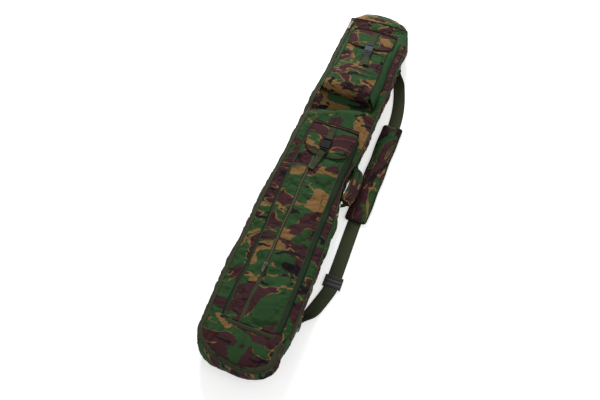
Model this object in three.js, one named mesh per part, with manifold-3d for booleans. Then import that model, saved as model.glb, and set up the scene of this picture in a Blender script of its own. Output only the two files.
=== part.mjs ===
// A soft holdall for made-up fishing rods, lying on its back, with two flap pockets and a shoulder strap.
// Millimetres, +Z up. The origin is the centre of the bag's back face on the ground. +Y runs to the top
// end, +X to the side that carries the shoulder strap, and +Z out of the front face with its pockets.
import * as THREE from "three";
import { mergeVertices } from "three/addons/utils/BufferGeometryUtils.js";
import Module from "manifold-3d";

const wasm = await Module();
wasm.setup();

// Driving dimensions of the bag.
const HALF_LENGTH = 660;
const HALF_WIDTH = 114;
const THICKNESS = 90;
const CLOTH = 4; // padded cloth of the main bag
const SKIN = 3; // lighter cloth of the pockets and flaps
const THIN_CLOTH = 1.6; // turned cloth beside a seam
const GAP = 0.3; // between pieces that touch
const BASE_RADIUS = 75; // corners of the base end
const TOP_SEAM_Y = 575; // where the soft top end starts
const FRONT_TOP_Y = TOP_SEAM_Y - 2.5; // upper edge of the front panel and its zip
const LEFT_TAPER = 16; // how much nearer the middle the left side is at the top seam than at the base
const TOP_EDGE_Z = 50; // height at which the top end turns over
const TOP_ROUNDNESS = 0.72;
const PADDING = { thickness: 5, inset: 2, short: 5 };
const STIFFENER = { inset: 1, thickness: 2, low: 12, high: 78 };

// The main zip follows the front edge of the bag, measured inwards from its outline.
const ZIP_TAPE = 16;
const ZIP_CHAIN = 5.4;
const ZIP_BAND = 30;
const ZIP_END_Y = -560;
const TAPE_THICKNESS = 2;
const CHAIN_THICKNESS = 2.6;
const MAIN_SLIDER_Y = TOP_SEAM_Y - 30;
const MAIN_PULL_LENGTH = 34;
const POCKET_PULL_LENGTH = 22;

// Every zip slider, with its chain along Y below z = 0.
const SLIDER = { halfWidth: 5, halfLength: 7, thickness: 1.9 };
const LUG = { halfWidth: 1.2, halfLength: 2.5, top: 5.4 };
const PULL = { halfWidth: 3.6, halfSlot: 1.6, behind: 1.2, slotDepth: 4.2, round: 3, halfThickness: 0.65 };
const PULL_HINGE_Z = 3.55; // above the chain

// Upper pocket: a wedge that is shallow at its flap and deep at its lower end.
const UPPER_SEAM_Y = 515;
const UPPER_SEAM_Z = 100;
const UPPER_FOOT_Y = 206;
const UPPER_RISE = 38;
const UPPER_FACE = { topLeft: -52, topRight: 80, footLeft: -64, footRight: 78, topGap: 6 };
const UPPER_GUSSET = { leftTopFoot: -68, leftLowFoot: -74, rightFoot: 98 };
const UPPER_FLAP = { left: -58, right: 84, length: 95, radius: 34 };
const UPPER_WEB_X = 18;
const UPPER_JOINT = -UPPER_FLAP.length - 23; // where the buckle's halves meet, down from the flap's seam
const ANCHOR_LENGTH = 76;

// Lower pocket: long and shallow, thinner towards its lower end.
const LOWER_SEAM_Y = 80;
const LOWER_SEAM_Z = 110;
const LOWER_FOOT_Y = -557;
const LOWER_DROP = 13;
const LOWER_FACE = { left: -51, right: 78, mouth: -12 };
const LOWER_GUSSET = { leftTopFoot: -57, leftLowFoot: -55, rightTopFoot: 96, rightLowFoot: 94 };
const LOWER_FLAP = { left: -48, right: 86, length: 112, radius: 46 };
const LOWER_WEB_X = 14;
const LOWER_JOINT = -87;
const LOWER_BINDING = { left: -44, right: 82, width: 7.4 };
const POCKET_ZIP = { left: -13, right: -1, top: -118, foot: -487, sliderFromFoot: 13 };

// Closures and webbing.
const BINDING_WIDTH = 5;
const BINDING_RISE = 0.1; // how much thicker the binding is than the flap
const NARROW_WEB = 20;
const WIDE_WEB = 38;
const WEB = 1.8; // webbing thickness
const FLAP_WEB_Z = SKIN + GAP * 2 + 0.2; // underside of the webbing on a flap
const BUCKLE_HALF_WIDTH = 12.6;
const SOCKET = { length: 34, wall: 2, floor: 1.2, roof: 4.9, top: 6.5 };
const SOCKET_WINDOW = { near: 4.5, far: 12 }; // where the latch arms show at the sides
const LATCH = { low: 0.8, high: 3.9, root: 5.2, outer: 9.6, bow: 10.6, tip: 7.6 };
const PRONG_DEPTH = 13.2;
const LADDER = { length: 18.5, height: 4.6, slot: 4, rail: 2.4, firstSlot: 3, secondSlot: 9.5 };
const TAIL_LENGTH = 62;
const TAIL_START_Z = 7;

// Shoulder strap, which swings about an axis through its two rings.
const RING_AXIS = { x: HALF_WIDTH + 4.8, z: 44 };
const RING_ANGLE = THREE.MathUtils.degToRad(-70);
const RING = { reach: 42, halfHeight: 13, corner: 3, wire: 2 };
const RING_LOOP = { outer: 4.4, inner: 2.6 }; // the tab's fold round the ring
const TAB_HALF_WIDTH = 10;
const TAB_TOP_Z = THICKNESS - 8;
const TAB_PATCH = { far: 52, near: 12, low: 52, high: 80 };
const UPPER_RING_Y = 448;
const LOWER_RING_Y = -488;
const STRAP_X = 155;
const STRAP_Z = 3.1;
const STRAP_END_GAP = 16; // between a ring's middle and the webbing's end
const STRAP_TOP = UPPER_RING_Y - STRAP_END_GAP;
const STRAP_FOOT = LOWER_RING_Y + STRAP_END_GAP;
const STRAP_RISE = { upperStart: 330, lowerStart: -380, outFromAxis: 22 };
const RETURN_LIFT = 1.2; // of the strap's second layer, above the first
const PAD = { low: -142, high: 225, halfWidth: 31, bottom: 4.4, top: 14, edge: 3, corner: 10 };
const KEEPER = { length: 60, halfWidth: 23, side: 3, floor: 1.7 };
const ADJUSTER_Y = -336;
const ADJUSTER = { halfWidth: 24.5, halfLength: 17, halfOpening: 20, bar: 3.5, low: 4.4, high: 6.2 };
const ADJUSTER_MIDDLE = { half: 2, top: 1.8 };

// Carry handle on the same side.
const HANDLE = { high: 8, low: -130, z: 45, reach: 10, halfWidth: 18, webHalf: 12, padding: 7, standOff: 6 };
const HANDLE_PATCH = { length: 32, gap: 2, half: 17 };
const GRIP_ENDS = { low: 12, high: 10 }; // webbing left bare at each end of the grip

const V = (x, y, z) => new THREE.Vector3(x, y, z);

const cloth = (color) => new THREE.MeshStandardMaterial({ color, roughness: 0.95, metalness: 0 });
const green = () => cloth(0x4a5a38);
const plainGreen = () => cloth(0x3f6b40);
const maroon = () => cloth(0x4b2f30);
const olive = () => cloth(0x4a4c3b);
const darkBinding = () => cloth(0x2c2b22);
const foam = () => new THREE.MeshStandardMaterial({ color: 0x55574c, roughness: 1, metalness: 0 });
const plastic = (color) => new THREE.MeshStandardMaterial({ color, roughness: 0.45, metalness: 0 });
const metal = () => new THREE.MeshStandardMaterial({ color: 0x8a8a86, roughness: 0.35, metalness: 1 });

const bag = new THREE.Group();

function add(name, geometry, material, parent = bag) {
  const mesh = new THREE.Mesh(geometry, material);
  mesh.name = name;
  parent.add(mesh);
  return mesh;
}

// Solids ---------------------------------------------------------------------------------------

function block(x0, x1, y0, y1, z0, z1) {
  const geometry = new THREE.BoxGeometry(x1 - x0, y1 - y0, z1 - z0);
  return geometry.translate((x0 + x1) / 2, (y0 + y1) / 2, (z0 + z1) / 2);
}

// A flat outline in XY, from z0 up to z1.
function plate(shape, z0, z1, curveSegments = 8) {
  const geometry = new THREE.ExtrudeGeometry(shape, { depth: z1 - z0, bevelEnabled: false, curveSegments });
  return geometry.translate(0, 0, z0);
}

// An outline drawn in XZ, run along Y from y0 to y1.
function bar(shape, y0, y1, curveSegments = 6) {
  const geometry = new THREE.ExtrudeGeometry(shape, { depth: y1 - y0, bevelEnabled: false, curveSegments });
  return geometry.rotateX(Math.PI / 2).translate(0, y1, 0);
}

function toManifold(geometry) {
  const bare = geometry.clone();
  bare.deleteAttribute("normal");
  bare.deleteAttribute("uv");
  const merged = mergeVertices(bare, 1e-3);
  const vertProperties = new Float32Array(merged.attributes.position.array);
  const triVerts = new Uint32Array(merged.index.array);
  return new wasm.Manifold(new wasm.Mesh({ numProp: 3, vertProperties, triVerts }));
}

function fromManifold(solid) {
  const mesh = solid.getMesh();
  const geometry = new THREE.BufferGeometry();
  geometry.setAttribute("position", new THREE.BufferAttribute(mesh.vertProperties, 3));
  geometry.setIndex(new THREE.BufferAttribute(mesh.triVerts, 1));
  geometry.computeVertexNormals();
  return geometry;
}

function joined(geometries) {
  return fromManifold(geometries.map(toManifold).reduce((all, next) => all.add(next)));
}

function cut(geometry, tools) {
  const subtract = (rest, tool) => rest.subtract(tool);
  return fromManifold(tools.map(toManifold).reduce(subtract, toManifold(geometry)));
}

// A thin sheet: pointAt(u, v) is its outer face for u and v from 0 to 1, and its inner face lies
// thickness behind it, against the direction of (d/du) x (d/dv).
function sheet(pointAt, thickness, uSteps, vSteps) {
  const STEP = 1e-3;
  const columns = vSteps + 1;
  const outer = [];
  const inner = [];
  for (let i = 0; i <= uSteps; i += 1) {
    for (let j = 0; j <= vSteps; j += 1) {
      const u = i / uSteps;
      const v = j / vSteps;
      const point = pointAt(u, v);
      const du = pointAt(Math.min(u + STEP, 1), v).sub(pointAt(Math.max(u - STEP, 0), v));
      const dv = pointAt(u, Math.min(v + STEP, 1)).sub(pointAt(u, Math.max(v - STEP, 0)));
      const normal = du.cross(dv).normalize();
      outer.push(point);
      inner.push(point.clone().addScaledVector(normal, -thickness));
    }
  }
  const positions = [...outer, ...inner].flatMap((p) => [p.x, p.y, p.z]);
  const back = outer.length;
  const index = [];
  const quad = (a, b, c, d) => index.push(a, b, c, a, c, d);
  for (let i = 0; i < uSteps; i += 1) {
    for (let j = 0; j < vSteps; j += 1) {
      const a = i * columns + j;
      const b = a + columns;
      quad(a, b, b + 1, a + 1);
      quad(back + a, back + a + 1, back + b + 1, back + b);
    }
  }
  for (let i = 0; i < uSteps; i += 1) {
    const a = i * columns;
    const b = a + columns;
    quad(a, back + a, back + b, b);
    quad(a + vSteps, b + vSteps, back + b + vSteps, back + a + vSteps);
  }
  for (let j = 0; j < vSteps; j += 1) {
    const last = uSteps * columns + j;
    quad(j, j + 1, back + j + 1, back + j);
    quad(last, back + last, back + last + 1, last + 1);
  }
  const geometry = new THREE.BufferGeometry();
  geometry.setAttribute("position", new THREE.Float32BufferAttribute(positions, 3));
  geometry.setIndex(index);
  geometry.computeVertexNormals();
  return geometry;
}

// A four-cornered sheet. Seen from its outer side the corners run anticlockwise from a.
function panel(a, b, c, d, thickness, uSteps = 1, vSteps = 1) {
  const edge0 = (u) => a.clone().lerp(b, u);
  const edge1 = (u) => d.clone().lerp(c, u);
  return sheet((u, v) => edge0(u).lerp(edge1(u), v), thickness, uSteps, vSteps);
}

function roundedRectangle(x0, x1, y0, y1, radius) {
  const shape = new THREE.Shape();
  shape.moveTo(x0 + radius, y0);
  shape.lineTo(x1 - radius, y0);
  shape.absarc(x1 - radius, y0 + radius, radius, -Math.PI / 2, 0);
  shape.lineTo(x1, y1 - radius);
  shape.absarc(x1 - radius, y1 - radius, radius, 0, Math.PI / 2);
  shape.lineTo(x0 + radius, y1);
  shape.absarc(x0 + radius, y1 - radius, radius, Math.PI / 2, Math.PI);
  shape.lineTo(x0, y0 + radius);
  shape.absarc(x0 + radius, y0 + radius, radius, Math.PI, 1.5 * Math.PI);
  return shape;
}

// Main bag -------------------------------------------------------------------------------------

const ARC_CENTRE_X = HALF_WIDTH - BASE_RADIUS;
const ARC_CENTRE_Y = BASE_RADIUS - HALF_LENGTH;

// x of the left side, which leans in towards the top end.
function leftX(inset, y) {
  const share = (y - ARC_CENTRE_Y) / (TOP_SEAM_Y - ARC_CENTRE_Y);
  return -HALF_WIDTH + inset + LEFT_TAPER * share;
}

// Traces the base end, set in by inset: left corner, flat end and right corner.
function traceBase(path, inset) {
  const radius = BASE_RADIUS - inset;
  path.lineTo(-HALF_WIDTH + inset, ARC_CENTRE_Y);
  path.absarc(-ARC_CENTRE_X, ARC_CENTRE_Y, radius, Math.PI, 1.5 * Math.PI);
  path.absarc(ARC_CENTRE_X, ARC_CENTRE_Y, radius, 1.5 * Math.PI, 2 * Math.PI);
}

function traceBaseBack(path, inset) {
  const radius = BASE_RADIUS - inset;
  path.absarc(ARC_CENTRE_X, ARC_CENTRE_Y, radius, 0, -Math.PI / 2, true);
  path.absarc(-ARC_CENTRE_X, ARC_CENTRE_Y, radius, -Math.PI / 2, -Math.PI, true);
}

// Everything between two insets, from leftTop down the left side, round the base and up to rightTop.
function edgeBand(inset0, inset1, leftTop, rightTop) {
  const shape = new THREE.Shape();
  shape.moveTo(leftX(inset0, leftTop), leftTop);
  traceBase(shape, inset0);
  shape.lineTo(HALF_WIDTH - inset0, rightTop);
  shape.lineTo(HALF_WIDTH - inset1, rightTop);
  traceBaseBack(shape, inset1);
  shape.lineTo(leftX(inset1, leftTop), leftTop);
  return shape;
}

// The rounded top end in plan, for t from 0 at its left end to 1 at its right end.
function topEnd(t) {
  const angle = Math.PI * (1 - t);
  const c = Math.cos(angle);
  const half = c < 0 ? HALF_WIDTH - LEFT_TAPER : HALF_WIDTH;
  const x = half * Math.sign(c) * Math.abs(c) ** TOP_ROUNDNESS;
  const y = TOP_SEAM_Y + GAP + (HALF_LENGTH - TOP_SEAM_Y) * Math.sin(angle) ** TOP_ROUNDNESS;
  return [x, y];
}

function bagFloor(inset, top) {
  const shape = new THREE.Shape();
  shape.moveTo(leftX(inset, top), top);
  traceBase(shape, inset);
  shape.lineTo(HALF_WIDTH - inset, top);
  return shape;
}

function backPanel() {
  const shape = bagFloor(0, TOP_SEAM_Y);
  const steps = 16;
  for (let i = steps - 1; i > 0; i -= 1) shape.lineTo(...topEnd(i / steps));
  return plate(shape, 0, CLOTH);
}

function frontPanel() {
  const shape = new THREE.Shape();
  shape.moveTo(leftX(ZIP_BAND, FRONT_TOP_Y), FRONT_TOP_Y);
  traceBase(shape, ZIP_BAND);
  shape.lineTo(HALF_WIDTH - ZIP_BAND, ZIP_END_Y + GAP);
  shape.lineTo(HALF_WIDTH, ZIP_END_Y + GAP);
  shape.lineTo(HALF_WIDTH, FRONT_TOP_Y);
  return plate(shape, THICKNESS - CLOTH, THICKNESS);
}

// The top end rises as a wall to its turning edge, then slopes in to the seam on the front.
function topCap() {
  const wallShare = 0.4;
  const seamShare = 0.98;
  const rimZ = THICKNESS - 1;
  return sheet((u, v) => {
    const [x, y] = topEnd(u);
    if (v <= wallShare) return V(x, y, CLOTH + GAP + (v / wallShare) * (TOP_EDGE_Z - CLOTH));
    const turn = ((v - wallShare) / (1 - wallShare)) * (Math.PI / 2);
    const rise = Math.sin(turn);
    const run = 1 - Math.cos(turn);
    const inX = x + (x * seamShare - x) * run;
    const inY = y + (TOP_SEAM_Y + GAP - y) * run;
    return V(inX, inY, TOP_EDGE_Z + GAP + (rimZ - TOP_EDGE_Z) * rise);
  }, SKIN, 20, 8);
}

function leftGusset(z0, z1) {
  const low = ARC_CENTRE_Y + GAP;
  const high = TOP_SEAM_Y - GAP;
  const shape = new THREE.Shape();
  shape.moveTo(leftX(0, low), low);
  shape.lineTo(leftX(CLOTH, low), low);
  shape.lineTo(leftX(CLOTH, high), high);
  shape.lineTo(leftX(0, high), high);
  return plate(shape, z0, z1);
}

function mainBag() {
  const wallTop = THICKNESS - CLOTH - GAP;
  const wallFoot = CLOTH + GAP;
  const corner = ARC_CENTRE_Y;
  add("back_panel", backPanel(), green());
  const paddingShape = bagFloor(CLOTH + PADDING.inset, TOP_SEAM_Y - PADDING.short);
  add("back_padding", plate(paddingShape, wallFoot, wallFoot + PADDING.thickness), foam());
  add("front_panel", frontPanel(), green());
  add("left_gusset", leftGusset(wallFoot, wallTop), maroon());
  const rightX = HALF_WIDTH - CLOTH;
  const rightGusset = block(rightX, HALF_WIDTH, corner + GAP, TOP_SEAM_Y - GAP, wallFoot, wallTop);
  add("right_gusset", rightGusset, maroon());
  add("base_gusset", plate(edgeBand(0, CLOTH, corner, corner), wallFoot, wallTop), maroon());
  const boardInset = CLOTH + STIFFENER.inset;
  const board = edgeBand(boardInset, boardInset + STIFFENER.thickness, corner, corner);
  add("base_stiffener", plate(board, STIFFENER.low, STIFFENER.high), plastic(0x22231f));
  add("top_end_cap", topCap(), maroon());
}

// The zip runs down the left side, round the base end and a little way up the right side.
function mainZip() {
  const z = THICKNESS - CLOTH;
  const chain0 = ZIP_TAPE + GAP;
  const chain1 = chain0 + ZIP_CHAIN;
  const band = (inset0, inset1) => edgeBand(inset0, inset1, FRONT_TOP_Y, ZIP_END_Y);
  add("main_zip_tape_outer", plate(band(0, ZIP_TAPE), z, z + TAPE_THICKNESS), olive());
  add("main_zip_chain", plate(band(chain0, chain1), z, z + CHAIN_THICKNESS), plastic(0x34362a));
  add("main_zip_tape_inner", plate(band(chain1 + GAP, ZIP_BAND - GAP), z, z + TAPE_THICKNESS), olive());
  const slider = new THREE.Group();
  slider.position.set(leftX(chain0 + ZIP_CHAIN / 2, MAIN_SLIDER_Y), MAIN_SLIDER_Y, z + CHAIN_THICKNESS + GAP);
  slider.rotation.z = -Math.atan2(LEFT_TAPER, TOP_SEAM_Y - ARC_CENTRE_Y);
  zipSlider("main_zip", slider, MAIN_PULL_LENGTH);
  bag.add(slider);
}

// A slider with a lug, and a forked pull tab that turns over on it.
function zipSlider(prefix, parent, tabLength) {
  const { halfWidth, halfLength, thickness } = SLIDER;
  const body = block(-halfWidth, halfWidth, -halfLength, halfLength, 0, thickness);
  const lug = block(-LUG.halfWidth, LUG.halfWidth, -LUG.halfLength, LUG.halfLength, thickness - 0.1, LUG.top);
  add(`${prefix}_slider`, joined([body, lug]), metal(), parent);
  const side = PULL.halfWidth;
  const tab = new THREE.Shape();
  tab.moveTo(-PULL.halfSlot, PULL.behind);
  tab.lineTo(-side, PULL.behind);
  tab.lineTo(-side, -tabLength + PULL.round);
  tab.quadraticCurveTo(-side, -tabLength, 0, -tabLength);
  tab.quadraticCurveTo(side, -tabLength, side, -tabLength + PULL.round);
  tab.lineTo(side, PULL.behind);
  tab.lineTo(PULL.halfSlot, PULL.behind);
  tab.lineTo(PULL.halfSlot, -PULL.slotDepth);
  tab.lineTo(-PULL.halfSlot, -PULL.slotDepth);
  const tabPlate = plate(tab, PULL_HINGE_Z - PULL.halfThickness, PULL_HINGE_Z + PULL.halfThickness, 4);
  add(`${prefix}_pull`, tabPlate, metal(), parent);
}

// Pockets --------------------------------------------------------------------------------------

// A U-shaped outline that hangs from y = 0: straight sides, rounded lower corners.
function flapShape(x0, x1, length, radius) {
  const shape = new THREE.Shape();
  shape.moveTo(x0, 0);
  shape.lineTo(x0, -length + radius);
  shape.absarc(x0 + radius, -length + radius, radius, Math.PI, 1.5 * Math.PI);
  shape.absarc(x1 - radius, -length + radius, radius, 1.5 * Math.PI, 2 * Math.PI);
  shape.lineTo(x1, 0);
  return shape;
}

// The bound edge of that flap, width wide. It starts just below the seam.
function flapBinding(x0, x1, length, radius, width) {
  const start = -1;
  const inner = radius - width;
  const shape = new THREE.Shape();
  shape.moveTo(x0, start);
  shape.lineTo(x0, -length + radius);
  shape.absarc(x0 + radius, -length + radius, radius, Math.PI, 1.5 * Math.PI);
  shape.absarc(x1 - radius, -length + radius, radius, 1.5 * Math.PI, 2 * Math.PI);
  shape.lineTo(x1, start);
  shape.lineTo(x1 - width, start);
  shape.absarc(x1 - radius, -length + radius, inner, 0, -Math.PI / 2, true);
  shape.absarc(x0 + radius, -length + radius, inner, -Math.PI / 2, -Math.PI, true);
  shape.lineTo(x0 + width, start);
  return shape;
}

function flap(prefix, parent, { left, right, length, radius }) {
  const low = GAP + 0.1;
  const inset = BINDING_WIDTH + GAP;
  const inside = flapShape(left + inset, right - inset, length - inset, radius - inset);
  add(`${prefix}_flap`, plate(inside, low, low + SKIN), green(), parent);
  const edge = flapBinding(left, right, length, radius, BINDING_WIDTH);
  add(`${prefix}_flap_binding`, plate(edge, low, low + SKIN + BINDING_RISE), darkBinding(), parent);
}

// A side-release buckle that closes along Y, with its webbing. The joint between its halves is at
// y = 0, its underside at z = 0 and its socket on the +Y side. The socket is open underneath, so it
// also lifts straight off the prongs.
function buckle(prefix, parent, x, y, z, tailTurn, tailRest) {
  const group = new THREE.Group();
  group.position.set(x, y, z);
  parent.add(group);
  socket(prefix, group);
  prongHalf(prefix, group);
  looseTail(prefix, group, tailTurn, tailRest);
}

function socket(prefix, group) {
  const w = BUCKLE_HALF_WIDTH;
  const inside = w - SOCKET.wall;
  const past = 1; // how far each cutting block runs past the face it opens
  const body = block(-w, w, GAP, SOCKET.length, SOCKET.floor, SOCKET.top);
  const channel = block(-inside, inside, -past, SOCKET.length - 12, -past, SOCKET.roof);
  const { near, far } = SOCKET_WINDOW;
  const windowTop = SOCKET.roof - 0.6;
  const windowRight = block(inside - past, w + past, near, far, -past, windowTop);
  const windowLeft = block(-w - past, -inside + past, near, far, -past, windowTop);
  const webSlot = block(-inside, inside, SOCKET.length - 8, SOCKET.length - 3, -past, SOCKET.top + past);
  const solid = cut(body, [channel, windowRight, windowLeft, webSlot]);
  add(`${prefix}_buckle_socket`, solid, plastic(0x6d7886), group);
}

function prongHalf(prefix, group) {
  const w = BUCKLE_HALF_WIDTH;
  const halfTongue = 2.4;
  const ladder = block(-w, w, -LADDER.length, -GAP, 0, LADDER.height);
  const tongue = block(-halfTongue, halfTongue, -GAP - 1, PRONG_DEPTH, LATCH.low, LATCH.high);
  const slots = [LADDER.firstSlot, LADDER.secondSlot].map((fromEnd) => {
    const low = -LADDER.length + fromEnd;
    return block(-w + LADDER.rail, w - LADDER.rail, low, low + LADDER.slot, -1, LADDER.height + 1);
  });
  add(`${prefix}_buckle_prong`, cut(joined([ladder, tongue]), slots), plastic(0x5b6470), group);
  for (const [side, sign] of [["left", -1], ["right", 1]]) {
    const arm = new THREE.Shape();
    arm.moveTo(sign * LATCH.root, GAP);
    arm.lineTo(sign * LATCH.outer, GAP);
    arm.quadraticCurveTo(sign * LATCH.bow, PRONG_DEPTH * 0.6, sign * LATCH.tip, PRONG_DEPTH);
    arm.lineTo(sign * LATCH.root, PRONG_DEPTH - 1);
    add(`${prefix}_buckle_latch_${side}`, plate(arm, LATCH.low, LATCH.high, 5), plastic(0x5b6470), group);
  }
}

// The end of the webbing beyond the ladder, turned a little to one side and dropping to the pocket.
function looseTail(prefix, group, turn, restZ) {
  const tail = new THREE.Group();
  tail.position.set(0, -LADDER.length + 8, 0);
  tail.rotation.z = turn;
  group.add(tail);
  const half = NARROW_WEB / 2;
  const drop = (u) => TAIL_START_Z - (TAIL_START_Z - restZ) * Math.min(1, u * 2.2) ** 2;
  const tailAt = (u, v) => V(half - v * 2 * half, -u * TAIL_LENGTH, drop(u));
  add(`${prefix}_buckle_tail`, sheet(tailAt, WEB - 0.2, 8, 1), olive(), tail);
}

// Webbing on a flap, from below its seam down to its buckle's socket.
function flapWebbing(name, parent, x, top, joint) {
  const low = joint + SOCKET.length + GAP;
  const strip = block(x - NARROW_WEB / 2, x + NARROW_WEB / 2, low, top, FLAP_WEB_Z, FLAP_WEB_Z + WEB);
  add(name, strip, olive(), parent);
}

function upperPocket() {
  const run = UPPER_SEAM_Y - UPPER_FOOT_Y;
  const slope = Math.atan2(UPPER_RISE, run);
  const face = new THREE.Group(); // z = 0 is the outer face of the pocket, y = 0 the flap's seam
  face.position.set(0, UPPER_SEAM_Y, UPPER_SEAM_Z);
  face.rotation.x = -slope;
  bag.add(face);
  const length = run / Math.cos(slope);
  const { topLeft, topRight, footLeft, footRight, topGap } = UPPER_FACE;
  const front = new THREE.Shape();
  front.moveTo(topLeft, -topGap);
  front.lineTo(footLeft, -length);
  front.lineTo(footRight, -length);
  front.lineTo(topRight, -topGap);
  add("upper_pocket_front", plate(front, -SKIN, 0), green(), face);

  const underside = (y) => UPPER_SEAM_Z + (UPPER_SEAM_Y - y) * Math.tan(slope) - SKIN - 1;
  const foot = THICKNESS + SKIN;
  const high = UPPER_SEAM_Y - 2 * topGap;
  const low = UPPER_FOOT_Y + SKIN + 1;
  const { leftTopFoot, leftLowFoot, rightFoot } = UPPER_GUSSET;
  const leftSide = panel(V(topLeft - 2, high, underside(high)), V(leftTopFoot, high, foot),
    V(leftLowFoot, low, foot), V(footLeft, low, underside(low)), SKIN - 1, 1, 4);
  const rightSide = panel(V(rightFoot, high, foot), V(topRight, high, underside(high)),
    V(footRight, low, underside(low)), V(rightFoot, low, foot), SKIN - 1, 1, 4);
  add("upper_pocket_left_gusset", leftSide, plainGreen());
  add("upper_pocket_right_gusset", rightSide, plainGreen());
  const footTop = underside(UPPER_FOOT_Y) + 0.4;
  const bottom = block(footLeft, footRight, UPPER_FOOT_Y - 2, UPPER_FOOT_Y, THICKNESS + GAP, footTop);
  add("upper_pocket_bottom", bottom, plainGreen());
  add("upper_flap_seam", seamRamp(topLeft, topRight, UPPER_SEAM_Y, UPPER_SEAM_Z, 22), green());

  flap("upper", face, UPPER_FLAP);
  flapWebbing("upper_flap_webbing", face, UPPER_WEB_X, -14, UPPER_JOINT);
  const anchorHalf = NARROW_WEB / 2 - 0.5;
  const anchorY = UPPER_JOINT - 2;
  const anchorX = UPPER_WEB_X - anchorHalf;
  const anchor = block(anchorX, anchorX + 2 * anchorHalf, anchorY - ANCHOR_LENGTH, anchorY, GAP, GAP + 1.4);
  add("upper_anchor_webbing", anchor, olive(), face);
  buckle("upper", face, UPPER_WEB_X, UPPER_JOINT, SKIN + GAP, THREE.MathUtils.degToRad(10), -0.6);
}

// Cloth that slopes from a flap's seam down to the bag, run long.
function seamRamp(x0, x1, seamY, seamZ, run) {
  const high = seamY + 1.5;
  const foot = THICKNESS + 2.2;
  const low = seamY + run;
  return panel(V(x0, high, seamZ), V(x1, high, seamZ), V(x1, low, foot), V(x0, low, foot), THIN_CLOTH);
}

function lowerPocket() {
  const run = LOWER_SEAM_Y - LOWER_FOOT_Y;
  const slope = Math.atan2(LOWER_DROP, run);
  const face = new THREE.Group();
  face.position.set(0, LOWER_SEAM_Y, LOWER_SEAM_Z);
  face.rotation.x = slope;
  bag.add(face);
  const { left, right, mouth } = LOWER_FACE; // the mouth is the pocket's open edge, under its flap
  add("lower_pocket_sleeve", block(left, POCKET_ZIP.left - GAP, -run, mouth, -SKIN, 0), green(), face);
  add("lower_pocket_front", block(POCKET_ZIP.right + GAP, right, -run, mouth, -SKIN, 0), green(), face);
  const tapeTop = -1.2;
  const tape = block(POCKET_ZIP.left, POCKET_ZIP.right, -run, mouth, -SKIN + 0.5, tapeTop);
  add("pocket_zip_tape", tape, olive(), face);
  const zipX = (POCKET_ZIP.left + POCKET_ZIP.right) / 2;
  const chainTop = tapeTop + CHAIN_THICKNESS;
  const chain = block(zipX - ZIP_CHAIN / 2, zipX + ZIP_CHAIN / 2, POCKET_ZIP.foot, POCKET_ZIP.top,
    tapeTop + GAP, chainTop);
  add("pocket_zip_chain", chain, plastic(0x6a6850), face);
  const slider = new THREE.Group();
  slider.position.set(zipX, POCKET_ZIP.foot + POCKET_ZIP.sliderFromFoot, chainTop + GAP);
  face.add(slider);
  zipSlider("pocket_zip", slider, POCKET_PULL_LENGTH);

  const underside = (y) => LOWER_SEAM_Z - (LOWER_SEAM_Y - y) * Math.tan(slope) - SKIN - 1;
  const foot = THICKNESS + 2.4;
  const high = LOWER_SEAM_Y - 14;
  const low = LOWER_FOOT_Y + 4;
  const { leftTopFoot, leftLowFoot, rightTopFoot, rightLowFoot } = LOWER_GUSSET;
  const leftSide = panel(V(left + 1, high, underside(high)), V(leftTopFoot, high, foot),
    V(leftLowFoot, low, foot), V(left + 1, low, underside(low)), 1.4, 1, 6);
  const rightSide = panel(V(rightTopFoot, high, foot), V(right - 1, high, underside(high)),
    V(right - 1, low, underside(low)), V(rightLowFoot, low, foot), 1.4, 1, 6);
  add("lower_pocket_left_gusset", leftSide, plainGreen());
  add("lower_pocket_right_gusset", rightSide, plainGreen());
  const edgeTop = LOWER_SEAM_Z - LOWER_DROP - 1;
  const edgeY = LOWER_FOOT_Y - 0.6;
  const edge = block(LOWER_BINDING.left, LOWER_BINDING.right, edgeY - LOWER_BINDING.width, edgeY,
    THICKNESS + GAP, edgeTop);
  add("lower_pocket_binding", edge, olive());
  add("lower_flap_seam", seamRamp(-46, 84, LOWER_SEAM_Y, LOWER_SEAM_Z, 18), green());

  flap("lower", face, LOWER_FLAP);
  flapWebbing("lower_flap_webbing", face, LOWER_WEB_X, -8, LOWER_JOINT);
  buckle("lower", face, LOWER_WEB_X, LOWER_JOINT, FLAP_WEB_Z, THREE.MathUtils.degToRad(-12), 1);
}

// Shoulder strap -------------------------------------------------------------------------------

// A webbing tab sewn to the side, folded round the ring's short side.
function ringTab(name, y) {
  const { outer, inner } = RING_LOOP;
  const profile = new THREE.Shape();
  profile.moveTo(RING_AXIS.x - outer, TAB_TOP_Z);
  profile.lineTo(RING_AXIS.x - outer, RING_AXIS.z);
  profile.absarc(RING_AXIS.x, RING_AXIS.z, outer, Math.PI, 2.68 * Math.PI);
  profile.lineTo(RING_AXIS.x - outer + WEB, TAB_TOP_Z);
  const hole = new THREE.Path();
  hole.absarc(RING_AXIS.x, RING_AXIS.z, inner, 0, 2 * Math.PI, true);
  profile.holes.push(hole);
  add(name, bar(profile, y - TAB_HALF_WIDTH, y + TAB_HALF_WIDTH, 5), olive());
}

const outward = V(Math.cos(RING_ANGLE), 0, Math.sin(RING_ANGLE));
const towards = (a, b, distance) => a.clone().addScaledVector(b.clone().sub(a).normalize(), distance);

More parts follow.
